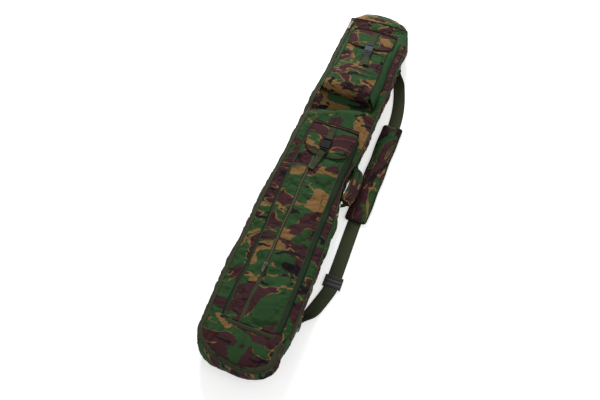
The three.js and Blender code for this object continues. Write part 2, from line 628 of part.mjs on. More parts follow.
// A rectangular wire ring whose near side lies on the swing axis.
function ring(name, y) {
  const corners = [[-1, 0], [-1, 1], [1, 1], [1, 0]].map(([along, out]) => (
    V(RING_AXIS.x, y + along * RING.halfHeight, RING_AXIS.z).addScaledVector(outward, out * RING.reach)
  ));
  const path = new THREE.CurvePath();
  corners.forEach((corner, i) => {
    const next = corners[(i + 1) % 4];
    const afterNext = corners[(i + 2) % 4];
    const bendStart = towards(next, corner, RING.corner);
    path.add(new THREE.LineCurve3(towards(corner, next, RING.corner), bendStart));
    path.add(new THREE.QuadraticBezierCurve3(bendStart, next, towards(next, afterNext, RING.corner)));
  });
  add(name, new THREE.TubeGeometry(path, 48, RING.wire, 6, true), metal());
}

// Smooth step from 0 to 1 as y runs from y0 to y1.
function ease(y, y0, y1) {
  const t = THREE.MathUtils.clamp((y - y0) / (y1 - y0), 0, 1);
  return t * t * (3 - 2 * t);
}

// Centre of the webbing and how far it has turned from flat, at a place along the bag.
function strapAt(y) {
  const { upperStart, lowerStart, outFromAxis } = STRAP_RISE;
  const rise = Math.max(ease(y, upperStart, STRAP_TOP), ease(y, lowerStart, STRAP_FOOT));
  const ringEnd = V(RING_AXIS.x, 0, RING_AXIS.z).addScaledVector(outward, outFromAxis);
  const centre = V(STRAP_X, y, STRAP_Z).lerp(V(ringEnd.x, y, ringEnd.z), rise);
  const angle = RING_ANGLE * rise;
  const across = V(Math.cos(angle), 0, Math.sin(angle));
  const normal = V(-Math.sin(angle), 0, Math.cos(angle));
  return { centre, across, normal };
}

function webbing(y0, y1, lift, steps) {
  return sheet((u, v) => {
    const { centre, across, normal } = strapAt(y0 + (y1 - y0) * u);
    return centre.addScaledVector(across, (0.5 - v) * WIDE_WEB).addScaledVector(normal, lift + WEB / 2);
  }, WEB, steps, 1);
}

function shoulderStrap() {
  ringTab("upper_strap_tab", UPPER_RING_Y);
  ringTab("lower_strap_tab", LOWER_RING_Y);
  const patchX = HALF_WIDTH + GAP;
  const patch = block(patchX, patchX + WEB, LOWER_RING_Y - TAB_PATCH.far, LOWER_RING_Y - TAB_PATCH.near,
    TAB_PATCH.low, TAB_PATCH.high);
  add("strap_tab_patch", patch, olive());
  ring("upper_strap_ring", UPPER_RING_Y);
  ring("lower_strap_ring", LOWER_RING_Y);
  add("strap_webbing", webbing(STRAP_FOOT, STRAP_TOP, 0, 90), olive());
  add("strap_webbing_return", webbing(STRAP_FOOT, ADJUSTER_Y - 18, WEB + RETURN_LIFT, 16), olive());
  shoulderPad();
  strapAdjuster();
}

// The pad's core inside its bound edge, with a keeper that holds it on the strap.
function shoulderPad() {
  const { low, high, halfWidth, bottom, top, edge, corner } = PAD;
  const inner = edge + GAP;
  const x0 = STRAP_X - halfWidth;
  const x1 = STRAP_X + halfWidth;
  const core = roundedRectangle(x0 + inner, x1 - inner, low + inner, high - inner, corner - edge);
  add("shoulder_pad", plate(core, bottom, top, 4), maroon());
  const binding = roundedRectangle(x0, x1, low, high, corner);
  binding.holes.push(roundedRectangle(x0 + edge, x1 - edge, low + edge, high - edge, corner - edge));
  add("shoulder_pad_binding", plate(binding, bottom + 1, top - 2, 4), darkBinding());
  const y0 = (low + high - KEEPER.length) / 2;
  const y1 = y0 + KEEPER.length;
  const left = STRAP_X - KEEPER.halfWidth;
  const right = STRAP_X + KEEPER.halfWidth;
  const keeper = joined([
    block(left, right, y0, y1, GAP, KEEPER.floor),
    block(left, left + KEEPER.side, y0, y1, GAP, bottom - GAP),
    block(right - KEEPER.side, right, y0, y1, GAP, bottom - GAP),
  ]);
  add("pad_keeper", keeper, olive());
}

// A three-bar slider: the webbing runs over its middle bar and under its two end bars.
function strapAdjuster() {
  const { halfWidth, halfLength, halfOpening, bar: barWidth, low, high } = ADJUSTER;
  const middle = ADJUSTER_MIDDLE.half;
  const left = STRAP_X - halfWidth;
  const right = STRAP_X + halfWidth;
  const foot = ADJUSTER_Y - halfLength;
  const top = ADJUSTER_Y + halfLength;
  const pieces = [
    block(left, STRAP_X - halfOpening, foot, top, GAP, high),
    block(STRAP_X + halfOpening, right, foot, top, GAP, high),
    block(left, right, foot, foot + barWidth, low, high),
    block(left, right, top - barWidth, top, low, high),
    block(left, right, ADJUSTER_Y - middle, ADJUSTER_Y + middle, GAP, ADJUSTER_MIDDLE.top),
  ];
  add("strap_adjuster", joined(pieces), plastic(0x1f201d));
}

// Carry handle ---------------------------------------------------------------------------------

function carryHandle() {
  const { high, low, z, reach, halfWidth, webHalf, padding } = HANDLE;
  const face = HALF_WIDTH + GAP;
  const { length, gap, half: patchHalf } = HANDLE_PATCH;
  const patch = (y0) => block(face, face + WEB, y0, y0 + length, z - patchHalf, z + patchHalf);
  add("handle_upper_patch", patch(high + gap), olive());
  add("handle_lower_patch", patch(low - gap - length), olive());
  const bow = (u) => HALF_WIDTH + HANDLE.standOff + reach * Math.sin(Math.PI * u) ** 0.6;
  const strip = (y0, y1, half, out) => (u, v) => {
    const y = y0 + (y1 - y0) * u;
    return V(bow((y - low) / (high - low)) + out, y, z + (v - 0.5) * 2 * half);
  };
  add("carry_handle_webbing", sheet(strip(low, high, webHalf, WEB), WEB, 14, 1), olive());
  const grip = strip(low + GRIP_ENDS.low, high - GRIP_ENDS.high, halfWidth, WEB + GAP + padding);
  add("carry_handle_grip", sheet(grip, padding, 12, 1), maroon());
}

mainBag();
mainZip();
upperPocket();
lowerPocket();
shoulderStrap();
carryHandle();

export default bag;
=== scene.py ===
import math

import bpy
import numpy as np
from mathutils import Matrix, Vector


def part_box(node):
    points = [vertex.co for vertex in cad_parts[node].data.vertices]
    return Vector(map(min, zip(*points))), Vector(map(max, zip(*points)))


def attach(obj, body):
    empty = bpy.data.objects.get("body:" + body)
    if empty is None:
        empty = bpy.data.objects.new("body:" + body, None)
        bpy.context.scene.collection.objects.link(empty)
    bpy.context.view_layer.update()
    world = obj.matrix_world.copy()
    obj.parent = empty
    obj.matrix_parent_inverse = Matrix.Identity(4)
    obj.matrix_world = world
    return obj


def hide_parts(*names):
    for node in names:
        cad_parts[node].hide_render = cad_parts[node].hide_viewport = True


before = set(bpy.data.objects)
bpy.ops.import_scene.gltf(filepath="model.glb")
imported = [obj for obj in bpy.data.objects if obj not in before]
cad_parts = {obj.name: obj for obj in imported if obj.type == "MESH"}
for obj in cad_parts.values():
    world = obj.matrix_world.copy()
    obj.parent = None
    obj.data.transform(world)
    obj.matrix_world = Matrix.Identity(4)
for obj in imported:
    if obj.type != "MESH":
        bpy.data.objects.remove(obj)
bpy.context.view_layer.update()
X, Y, Z = 0, 1, 2


def middle(node, axis):
    """Middle of a node's box along one axis."""
    low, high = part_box(node)
    return (low[axis] + high[axis]) / 2


# Noise and small curves
def lattice(ix, iy, iz, seed):
    """A fixed value from -1 to 1 for each whole-number place."""
    h = (ix * 374761393 + iy * 668265263 + iz * 2147483629 + seed * 1274126177) & 0xFFFFFFFF
    h = ((h ^ (h >> 13)) * 1274126177) & 0xFFFFFFFF
    h = ((h ^ (h >> 15)) * 668265263) & 0xFFFFFFFF
    return (h ^ (h >> 16)) / 0xFFFFFFFF * 2 - 1


def noise(points, size, seed=0):
    """Smooth noise from -1 to 1 whose features are about size metres across (a number or one per axis)."""
    p = np.asarray(points, float) / np.asarray(size, float)
    cell = np.floor(p).astype(np.int64)
    f = p - cell
    f = f * f * f * (f * (f * 6 - 15) + 10)
    total = np.zeros(p.shape[:-1])
    for corner in np.ndindex(2, 2, 2):
        weight = np.ones(p.shape[:-1])
        for axis, step in enumerate(corner):
            weight = weight * (f[..., axis] if step else 1 - f[..., axis])
        at = [cell[..., axis] + step for axis, step in enumerate(corner)]
        total += weight * lattice(*at, seed)
    return total


def bump(x, centre, width):
    """A smooth hill of height 1 at centre."""
    return np.exp(-(((x - centre) / width) ** 2))


def ease(x, start, end):
    """0 before start, 1 after end, smooth between them."""
    t = np.clip((x - start) / (end - start), 0, 1)
    return t * t * (3 - 2 * t)


def rounded(share):
    """Profile of a rounded corner: 1 where share is 0, falling to 0 where it is 1."""
    return np.sqrt(np.clip(1 - np.clip(share, 0, 1) ** 2.1, 0, 1))


def unit(v):
    return v / np.maximum(np.linalg.norm(v, axis=-1, keepdims=True), 1e-12)


def stack(*parts):
    """Points from separate coordinates of any matching shapes."""
    return np.stack(np.broadcast_arrays(*(np.asarray(part, float) for part in parts)), -1)


def between(left, right, share):
    """One row of values from left to right for each pair of them."""
    return left[:, None] + (right - left)[:, None] * share[None]


def distance_along(path):
    """Length run from a path's first point to each of its points."""
    return np.concatenate([[0], np.cumsum(np.linalg.norm(np.diff(path, axis=0), axis=1))])


def read_path(path, where, at):
    """Places on a path at stated distances; where holds the distance of each of its points."""
    return np.stack([np.interp(at, where, path[:, k]) for k in range(path.shape[1])], 1)


def resample(path, step, closed=False):
    """The same path with points about step apart."""
    path = np.asarray(path, float)
    if closed:
        path = np.vstack([path, path[:1]])
    length = distance_along(path)
    count = max(3, int(round(length[-1] / step)) + 1)
    at = np.linspace(0, length[-1], count)
    return read_path(path, length, at[:-1] if closed else at)


def smooth_path(points, step, closed=False, passes=3):
    """A curve through (nearly) the given points: resampled, then softened."""
    return soften(resample(points, step, closed), passes, closed)


def soften(path, passes, closed=False):
    for _ in range(passes):
        if closed:
            path = (np.roll(path, 1, 0) + 2 * path + np.roll(path, -1, 0)) / 4
        else:
            path[1:-1] = (path[:-2] + 2 * path[1:-1] + path[2:]) / 4
    return path


# Meshes
def make_object(name, points, faces, material, cloth=None, smooth=True):
    """A mesh object. cloth holds (across, along, seed) in metres for each point, for the cloth materials."""
    points = np.asarray(points, float).reshape(-1, 3)
    mesh = bpy.data.meshes.new(name)
    mesh.from_pydata(points.tolist(), [], faces)
    mesh.validate()
    place = points if cloth is None else np.asarray(cloth, float).reshape(-1, 3)
    attribute = mesh.attributes.new("cloth", "FLOAT_VECTOR", "POINT")
    attribute.data.foreach_set("vector", place.astype(np.float32).ravel())
    mesh.polygons.foreach_set("use_smooth", [smooth] * len(mesh.polygons))
    mesh.materials.append(material)
    obj = bpy.data.objects.new(name, mesh)
    bpy.context.scene.collection.objects.link(obj)
    return obj


def grid_faces(nu, nv, wrap_u=False, wrap_v=False):
    faces = []
    for i in range(nu if wrap_u else nu - 1):
        for j in range(nv if wrap_v else nv - 1):
            i2, j2 = (i + 1) % nu, (j + 1) % nv
            faces.append((i * nv + j, i2 * nv + j, i2 * nv + j2, i * nv + j2))
    return faces


def grid_normals(grid, wrap_u=False):
    if wrap_u:
        du = np.roll(grid, -1, 0) - np.roll(grid, 1, 0)
    else:
        du = np.gradient(grid, axis=0)
    return unit(np.cross(du, np.gradient(grid, axis=1)))


def sheet(name, grid, thickness, material, cloth, wrap_u=False):
    """Cloth of a stated thickness whose outer face is grid, on the side of d/drow x d/dcolumn."""
    nu, nv = grid.shape[:2]
    inner = grid - grid_normals(grid, wrap_u) * thickness
    outer_faces = grid_faces(nu, nv, wrap_u)
    back = nu * nv
    faces = outer_faces + [tuple(back + i for i in reversed(f)) for f in outer_faces]

    def rim(loop):
        for a, b in zip(loop, loop[1:]):
            faces.append((b, a, back + a, back + b))

    bottom = [i * nv for i in range(nu)]
    top = [i * nv + nv - 1 for i in range(nu)]
    if wrap_u:
        rim(bottom + bottom[:1])
        rim((top + top[:1])[::-1])
    else:
        left = list(range(nv))
        right = [(nu - 1) * nv + j for j in range(nv)]
        rim(bottom + right[1:] + top[::-1][1:] + left[::-1][1:])
    points = np.concatenate([grid.reshape(-1, 3), inner.reshape(-1, 3)])
    return make_object(name, points, faces, material, np.concatenate([cloth.reshape(-1, 3)] * 2))


def loft(name, rings, material, cloth, closed=False):
    """A solid through rings of points, with capped ends unless it is closed."""
    count, sides = rings.shape[:2]
    faces = [f[::-1] for f in grid_faces(count, sides, wrap_u=closed, wrap_v=True)]
    if not closed:
        faces.append(tuple(range(sides)))
        faces.append(tuple((count - 1) * sides + j for j in range(sides))[::-1])
    return make_object(name, rings, faces, material, cloth)


def tube(name, path, radius, material, sides=8, closed=False, flatten=1.0):
    """A round (or flattened) cord along a path."""
    path = np.asarray(path, float)
    if closed:
        tangent = unit(np.roll(path, -1, 0) - np.roll(path, 1, 0))
    else:
        tangent = unit(np.gradient(path, axis=0))
    normal = np.array([0.0, 0.0, 1.0])
    side = np.zeros_like(path)
    for i, t in enumerate(tangent):
        normal = normal - t * (normal @ t)
        normal = normal / np.linalg.norm(normal)
        side[i] = normal
    angle = np.linspace(0, 2 * math.pi, sides, endpoint=False)[None, :, None]
    ring = np.cos(angle) * side[:, None] * flatten + np.sin(angle) * np.cross(tangent, side)[:, None]
    cloth = stack(angle[..., 0] * radius, distance_along(path)[:, None], 0)
    return loft(name, path[:, None] + ring * radius, material, cloth, closed)


def ribbon(name, centre, across, width, thickness, material, seed, columns=6):
    """Webbing along a path of centres; across is its width direction at each one. Its edges are thinner."""
    centre = np.asarray(centre, float)
    across = unit(np.broadcast_to(np.asarray(across, float), centre.shape))
    normal = unit(np.cross(across, unit(np.gradient(centre, axis=0))))
    v = np.linspace(-0.5, 0.5, columns)
    off = v[None] * np.broadcast_to(width, (len(centre),))[:, None]
    flat = centre[:, None] + across[:, None] * off[..., None]
    rise = normal[:, None] * (thickness / 2 * (1 - 0.55 * np.abs(2 * v) ** 6))[None, :, None]
    rings = np.concatenate([flat + rise, (flat - rise)[:, ::-1]], 1)
    cloth = stack(np.concatenate([off, off[:, ::-1]], 1), distance_along(centre)[:, None], seed)
    return loft(name, rings, material, cloth)


def small_solids(name, rings, material, inside_out, smooth=True):
    """One mesh of many small capped solids: rings is solids x rings x sides x 3."""
    count, layers, sides = rings.shape[:3]
    last = (layers - 1) * sides
    shell = grid_faces(layers, sides, wrap_v=True)
    shell += [tuple(range(sides)), tuple(range(last, last + sides))[::-1]]
    if inside_out:
        shell = [f[::-1] for f in shell]
    faces = [tuple(i * layers * sides + k for k in f) for i in range(count) for f in shell]
    return make_object(name, rings, faces, material, smooth=smooth)


# Materials
class Nodes:
    """Short calls for building one material's node tree."""

    def __init__(self, name):
        self.material = bpy.data.materials.new(name)
        self.material.use_nodes = True
        self.tree = self.material.node_tree
        self.shader = self.tree.nodes["Principled BSDF"]

    def add(self, kind, **values):
        node = self.tree.nodes.new(kind)
        for key, value in values.items():
            setattr(node, key, value)
        return node

    def link(self, a, b):
        self.tree.links.new(a, b)

    def feed(self, socket, value):
        if isinstance(value, bpy.types.NodeSocket):
            self.link(value, socket)
        else:
            socket.default_value = value[:3] if socket.type == "VECTOR" else value

    def place(self):
        return self.add("ShaderNodeAttribute", attribute_name="cloth").outputs["Vector"]

    def turned(self, vector, angle):
        node = self.add("ShaderNodeVectorRotate", rotation_type="Z_AXIS")
        self.feed(node.inputs["Vector"], vector)
        node.inputs["Angle"].default_value = angle
        return node.outputs[0]

    def parts(self, vector):
        node = self.add("ShaderNodeSeparateXYZ")
        self.link(vector, node.inputs[0])
        return node.outputs

    def math(self, operation, *values):
        node = self.add("ShaderNodeMath", operation=operation)
        for socket, value in zip(node.inputs, values):
            self.feed(socket, value)
        return node.outputs[0]

    def vector(self, operation, a, b):
        node = self.add("ShaderNodeVectorMath", operation=operation)
        self.feed(node.inputs[0], a)
        self.feed(node.inputs["Scale" if operation == "SCALE" else 1], b)
        return node.outputs[0]

    def noise(self, vector, scale, detail=2.0, rough=0.5, colour=False):
        node = self.add("ShaderNodeTexNoise")
        self.feed(node.inputs["Vector"], vector)
        node.inputs["Scale"].default_value = scale
        node.inputs["Detail"].default_value = detail
        node.inputs["Roughness"].default_value = rough
        return node.outputs["Color" if colour else "Fac"]

    def step(self, value, low, high):
        node = self.add("ShaderNodeMapRange", interpolation_type="SMOOTHSTEP")
        self.feed(node.inputs["Value"], value)
        node.inputs["From Min"].default_value = low
        node.inputs["From Max"].default_value = high
        return node.outputs[0]

    def mix(self, factor, a, b):
        node = self.add("ShaderNodeMix", data_type="RGBA")
        self.feed(node.inputs[0], factor)
        self.feed(node.inputs[6], a)
        self.feed(node.inputs[7], b)
        return node.outputs[2]

    def bump(self, height, strength, distance, before=None):
        node = self.add("ShaderNodeBump")
        self.feed(node.inputs["Height"], height)
        node.inputs["Strength"].default_value = strength
        node.inputs["Distance"].default_value = distance
        if before is not None:
            self.link(before, node.inputs["Normal"])
        return node.outputs[0]

    def finish(self, colour, rough, normal=None, metallic=0.0, shine=0.10):
        self.feed(self.shader.inputs["Base Color"], colour)
        self.feed(self.shader.inputs["Roughness"], rough)
        self.shader.inputs["Metallic"].default_value = metallic
        self.shader.inputs["Specular IOR Level"].default_value = shine
        if normal is not None:
            self.link(normal, self.shader.inputs["Normal"])
        return self.material


def rgb(r, g, b):
    return (r, g, b, 1.0)


def darker(colour, share):
    return tuple(c * share for c in colour[:3]) + (1.0,)


TAN = rgb(0.182, 0.101, 0.036)
GREEN = rgb(0.022, 0.058, 0.019)
MAROON = rgb(0.043, 0.016, 0.018)
DARK = rgb(0.012, 0.008, 0.010)
THREAD_PITCH = 0.0011  # of the woven cloth
RIB_PITCH = 0.0015  # of the webbing


def weave(n, place, pitch):
    """Height of a plain weave with threads pitch apart."""
    split = n.parts(place)
    waves = []
    for axis in (X, Y):
        turns = n.math("MULTIPLY", split[axis], 2 * math.pi / pitch)
        waves.append(n.math("SINE", turns))
    return n.math("MULTIPLY", waves[0], waves[1])


def worn(n, place, colour, amount=0.22):
    """Slow changes of tone, as washed and handled cloth has."""
    light = n.math("MULTIPLY_ADD", n.noise(place, 9.0, 3.0, 0.6), amount, 1.0 - amount / 2)
    grain = n.math("MULTIPLY_ADD", n.noise(place, 900.0, 1.0), 0.24, 0.88)
    return n.vector("SCALE", colour, n.math("MULTIPLY", light, grain))


def cloth_relief(n, place, pitch, thread, crumple, strength, depth):
    """Bump of the weave with small crumples over it."""
    normal = n.bump(weave(n, place, pitch), thread, 0.0003)
    crease = n.noise(n.vector("MULTIPLY", place, (crumple, crumple, 10.0)), 1.0, 4.0, 0.6)
    return n.bump(crease, strength, depth, normal)


def camo_material():
    """Printed camouflage: tan ground, green and maroon patches with brushed ends, and dark strokes."""
    n = Nodes("camo_cloth")
    place = n.place()
    half = (0.5, 0.5, 0.5)

    def warped(size, bend, seed, turn):
        """Cloth places in pattern units, bent into curls and drawn out into brush marks."""
        p = n.vector("MULTIPLY", place, size)
        p = n.vector("ADD", p, seed)
        slow = n.vector("SUBTRACT", n.noise(p, 0.75, 1.0, colour=True), half)
        p = n.vector("ADD", p, n.vector("SCALE", slow, bend))
        marks = n.vector("MULTIPLY", n.turned(place, turn), (20.0, 120.0, 10.0))
        brush = n.noise(n.vector("ADD", marks, seed), 1.0, 1.5, 0.5, colour=True)
        return n.vector("ADD", p, n.vector("SCALE", n.vector("SUBTRACT", brush, half), 0.15))

    def gate(pattern, shift, scale, low, high):
        """1 in some regions of a pattern and 0 in the others."""
        return n.step(n.noise(n.vector("ADD", pattern, shift), scale, 0.0), low, high)

    def near(field, level, out, full):
        """1 along the line where a field has one level."""
        return n.step(n.math("ABSOLUTE", n.math("SUBTRACT", field, level)), out, full)

    large = warped((8.0, 12.0, 10.0), 2.8, (1.3, 4.4, 2.0), 0.35)
    green = n.step(n.noise(large, 1.0, 1.0, 0.35), 0.392, 0.398)
    other = warped((8.4, 12.8, 10.0), 3.0, (27.3, 14.1, 8.7), -0.45)
    maroon_field = n.noise(other, 1.0, 1.0, 0.35)
    maroon = n.step(maroon_field, 0.500, 0.506)
    strokes = warped((15.0, 40.0, 10.0), 2.6, (5.1, 33.2, 4.9), 0.2)
    dark = n.step(n.noise(strokes, 1.0, 1.0, 0.4), 0.655, 0.663)
    lines = warped((9.0, 24.0, 10.0), 2.2, (43.9, 21.7, 2.2), -0.3)
    loose_line = near(n.noise(lines, 1.0, 1.0, 0.4), 0.56, 0.013, 0.009)
    loose_line = n.math("MULTIPLY", loose_line, gate(large, (9.1, 2.6, 5.5), 0.9, 0.50, 0.52))
    rim_line = near(maroon_field, 0.494, 0.011, 0.008)
    rim_line = n.math("MULTIPLY", rim_line, gate(other, (3.3, 8.8, 1.2), 0.8, 0.49, 0.51))

    colour = n.mix(green, TAN, GREEN)
    colour = n.mix(maroon, colour, MAROON)
    colour = n.mix(n.math("MAXIMUM", loose_line, rim_line), colour, TAN)
    colour = worn(n, place, n.mix(dark, colour, DARK))
    return n.finish(colour, 0.85, cloth_relief(n, place, THREAD_PITCH, 0.25, 60.0, 0.35, 0.0020))


def plain_cloth(name, base, pitch=THREAD_PITCH, rough=0.88):
    n = Nodes(name)
    place = n.place()
    tint = n.mix(n.noise(place, 30.0, 3.0), base, darker(base, 0.8))
    colour = worn(n, place, tint, 0.3)
    return n.finish(colour, rough, cloth_relief(n, place, pitch, 0.3, 70.0, 0.22, 0.0014))


def webbing_material(name, base):
    """Woven webbing: fine ribs across it and slightly fluffy, faded tone."""
    n = Nodes(name)
    place = n.place()
    across, along = n.parts(place)[:2]
    zig = n.math("SUBTRACT", n.math("FRACT", n.math("MULTIPLY", across, 250.0)), 0.5)
    along = n.math("ADD", along, n.math("MULTIPLY", n.math("ABSOLUTE", zig), 0.0016))
    ribs = n.math("SINE", n.math("MULTIPLY", along, 2 * math.pi / RIB_PITCH))
    # The colour follows the ribs' height: painted shade in their grooves and painted light on their crests.
    tone = n.math("MULTIPLY_ADD", ribs, 0.10, 1.0)
    colour = n.vector("SCALE", worn(n, place, base, 0.35), tone)
    return n.finish(colour, 0.8, n.bump(ribs, 0.35, 0.0003))


def plastic_material(name, base, rough, shine=0.3):
    n = Nodes(name)
    place = n.place()
    colour = worn(n, place, base, 0.15)
    texture = n.noise(place, 1500.0, 2.0)
    roughness = n.math("MULTIPLY_ADD", n.noise(place, 120.0, 4.0, 0.7), 0.25, rough - 0.1)
    return n.finish(colour, roughness, n.bump(texture, 0.08, 0.0002), shine=shine)


def metal_material(name, base, rough):
    n = Nodes(name)
    place = n.place()
    scratches = n.noise(n.vector("MULTIPLY", place, (300.0, 3000.0, 300.0)), 1.0, 3.0)
    tarnish = n.noise(place, 220.0, 3.0, 0.6)
    colour = n.mix(n.step(tarnish, 0.55, 0.75), base, darker(base, 0.45))
    roughness = n.math("MULTIPLY_ADD", tarnish, 0.3, rough - 0.1)
    return n.finish(colour, roughness, n.bump(scratches, 0.1, 0.0002), metallic=1.0)


CAMO = camo_material()
GREEN_CLOTH = plain_cloth("plain_green_cloth", rgb(0.022, 0.066, 0.022))
# A darker copy of the plain green cloth: painted shade for the lower pocket's gussets, which lie in the valleys
# beside that pocket.
SHADED_GREEN_CLOTH = plain_cloth("shaded_green_cloth", rgb(0.019, 0.036, 0.018))
EDGE = plain_cloth("dark_binding", rgb(0.014, 0.013, 0.008), 0.0008, 0.8)
OLIVE_TAPE = webbing_material("olive_webbing", rgb(0.040, 0.047, 0.024))
BUCKLE = plastic_material("buckle_plastic", rgb(0.016, 0.026, 0.040), 0.55, 0.22)
# Near-black plastic: the latches' own colour, and painted shade on the lower buckle's socket and prong, which
# lie half in shadow.
BUCKLE_DARK = plastic_material("buckle_dark_plastic", rgb(0.006, 0.007, 0.007), 0.6, 0.10)
BLACK = plastic_material("adjuster_plastic", rgb(0.014, 0.014, 0.013), 0.4)
COIL = plastic_material("zip_coil", rgb(0.046, 0.050, 0.026), 0.6)
POCKET_COIL = plastic_material("pocket_zip_coil", rgb(0.080, 0.074, 0.038), 0.6)
WIRE = metal_material("bright_metal", rgb(0.24, 0.23, 0.21), 0.35)
ZIP_METAL = metal_material("zip_metal", rgb(0.085, 0.080, 0.062), 0.45)
THREAD = plain_cloth("thread", rgb(0.040, 0.042, 0.024), 0.0005)
FLAP_EDGE = plain_cloth("flap_binding", rgb(0.026, 0.015, 0.010), 0.0008, 0.8)


def fit(obj, body, *nodes):
    """Joins a finished piece to its body and the CAD nodes it stands for."""
    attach(obj, body)
    if nodes:
        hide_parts(*nodes)
    return obj


# Shape of the main bag
BASE_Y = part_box("back_panel")[0].y
TOP_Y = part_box("back_panel")[1].y
BASE_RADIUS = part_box("base_gusset")[1].y - BASE_Y
BASE_CORNER_Y = BASE_Y + BASE_RADIUS
TOP_CORNER_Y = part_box("front_panel")[1].y + 0.0025  # the seam between the front panel and the soft top end
BASE_FLAT = 0.032  # half of the base end's straight middle
TOP_FLAT = 0.024
EDGE_HEIGHT = 0.085  # height of the front panel's edge
CROWN, CROWN_REACH = 0.010, 0.022  # the front panel's rise, and how soon it comes
SIDE_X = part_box("right_gusset")[1].x
LEFT_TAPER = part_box("left_gusset")[1].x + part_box("right_gusset")[0].x  # narrower at the top on the left
UP_POCKET_Y = middle("upper_pocket_front", Y)
LOW_POCKET_Y = middle("lower_pocket_front", Y)
HANDLE_Y = (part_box("handle_lower_patch")[0].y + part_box("handle_upper_patch")[1].y) / 2
UP_FOOT_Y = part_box("upper_pocket_bottom")[1].y
TAB_Y = middle("upper_strap_tab", Y)
SWELLS = {  # (middle, reach, how far out) where a soft side leaves its sewn line
    1: [
        (HANDLE_Y - 0.012, 0.092, -0.014),  # waist at the carry handle
        (UP_POCKET_Y + 0.06, 0.18, 0.009),  # full beside the upper pocket
        (LOW_POCKET_Y - 0.10, 0.10, 0.003),
        (BASE_CORNER_Y, 0.04, -0.008),  # slack corners
        (TOP_CORNER_Y + 0.015, 0.035, -0.010),
    ],
    -1: [
        (LOW_POCKET_Y - 0.10, 0.12, 0.004),  # full beside the lower pocket
        (BASE_CORNER_Y + 0.03, 0.07, -0.009),  # slack corners
        (TOP_CORNER_Y, 0.16, -0.006),
    ],
}
HOLLOW_Y, HOLLOW_LEAN = round(UP_FOOT_Y - 0.060, 4), 0.36  # the slanting hollow under the upper pocket
BASE_END, BASE_TURN, TOP_END = (round(y, 4) for y in (BASE_Y, BASE_CORNER_Y, TOP_CORNER_Y))
BASE_PLEATS = ((-0.044, 0.050, -0.28), (0.082, 0.068, 0.55), (0.02, 0.045, 0.1))  # x, y above the base, slant
CALM_PLACES = [(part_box(p + "_buckle_socket")[0], 0.0126, 0.035) for p in ("upper", "lower")]


def wide_x(y, side):
    """Distance from x = 0 of one side's sewn line with its swells, ends left square."""
    sewn = SIDE_X
    if side < 0:
        sewn = SIDE_X - LEFT_TAPER * np.clip((y - BASE_CORNER_Y) / (TOP_CORNER_Y - BASE_CORNER_Y), 0, 1)
    return sewn + sum(out * bump(y, centre, reach) for centre, reach, out in SWELLS[side])


def side_x(y, side):
    """Distance of the bag's widest line from x = 0 on one side, ends rounded."""
    base = rounded((BASE_CORNER_Y - y) / BASE_RADIUS)
    top = rounded((y - TOP_CORNER_Y) / (TOP_Y - TOP_CORNER_Y))
    flat = np.where(y < 0, BASE_FLAT, TOP_FLAT)
    return flat + (wide_x(y, side) - flat) * base * top


def outline(side):
    """Places (x, y) down one side of the bag, from the top seam to the middle of the base end."""
    y = np.concatenate([
        np.linspace(TOP_CORNER_Y, BASE_CORNER_Y, 260, endpoint=False),
        BASE_CORNER_Y - BASE_RADIUS * np.sin(np.linspace(0, math.pi / 2, 40)),
    ])
    return resample(np.vstack([np.stack([side * side_x(y, side), y], 1), [[0.0, BASE_Y]]]), 0.005)


def whole_outline():
    """The same line from the top left, round the base end, to the top right."""
    return np.vstack([outline(-1)[:-1], outline(1)[::-1]])


def front_height(x, y):
    """Height of the front panel in plan: rounded over at its edges, sagging where nothing fills it."""
    out = np.where(x < 0, side_x(y, -1), side_x(y, 1))
    side_gap = np.maximum(out - np.abs(x), 0.0005)
    base_gap = np.maximum(y - BASE_Y, 0.0005)
    gap = (side_gap**-3.0 + base_gap**-3.0) ** (-1 / 3)
    inside = 1 - np.exp(-((gap / 0.020) ** 2))
    ridge_y = HOLLOW_Y + HOLLOW_LEAN * x
    hollow = 0.020 * bump(y, ridge_y + 0.034, 0.028)
    ridge = 0.006 * bump(y, ridge_y - 0.004, 0.015)
    dip = 0.010 * bump(y, TOP_END - 0.040, 0.030)
    z = EDGE_HEIGHT + CROWN * (1 - np.exp(-gap / CROWN_REACH)) + (ridge - hollow - dip) * inside
    z = z - 0.004 * ease(y, TOP_END - 0.075, TOP_END)
    for x0, up, slant in BASE_PLEATS:
        along = y - BASE_END - up
        z = z - 0.0045 * bump(x, x0 - slant * along, 0.008) * bump(along, 0, 0.028)
    return z


def front(x, y):
    x, y = np.broadcast_arrays(np.asarray(x, float), np.asarray(y, float))
    return np.stack([x, y, front_height(x, y)], -1)


def settle(points):
    """Moves points by the slow, uneven give of the padded bag, as every soft piece on it does."""
    p = np.asarray(points, float)
    quiet = np.ones(p.shape[:-1])
    for corner, inward, reach in CALM_PLACES:
        quiet = quiet - bump(p[..., X], corner.x + inward, reach) * bump(p[..., Y], corner.y, reach)
    give = np.clip(p[..., Z] / 0.03, 0, 1) * np.clip(quiet, 0, 1)
    moved = p.copy()
    moved[..., X] += (0.0035 * noise(p, (0.11, 0.10, 0.07), 11) + 0.0014 * noise(p, 0.035, 12)) * give
    moved[..., Y] += 0.0025 * noise(p, 0.09, 13) * give
    uneven = 0.0030 * noise(p, (0.10, 0.13, 0.10), 14) + 0.0012 * noise(p, (0.045, 0.03, 0.04), 15)
    moved[..., Z] += uneven * give
    skew = ease(-p[..., Y], -BASE_END - 0.16, -BASE_END) * np.clip(p[..., Z] / 0.09, 0, 1)
    moved[..., Y] -= (0.09 * p[..., X] - 0.009) * skew  # the base end's front edge lies askew
    return moved


def creases(points, along, across, seed):
    """Narrow wrinkles from -1 to 1: noise drawn out along one direction."""
    p = np.asarray(points, float)
    a, b = unit(np.asarray(along, float)), unit(np.asarray(across, float))
    q = np.stack([p @ a / 0.075, p @ b / 0.014, p @ np.cross(a, b) / 0.05], -1)
    return (1 - np.abs(noise(q, 1.0, seed)) * 2.2).clip(-1, 1)


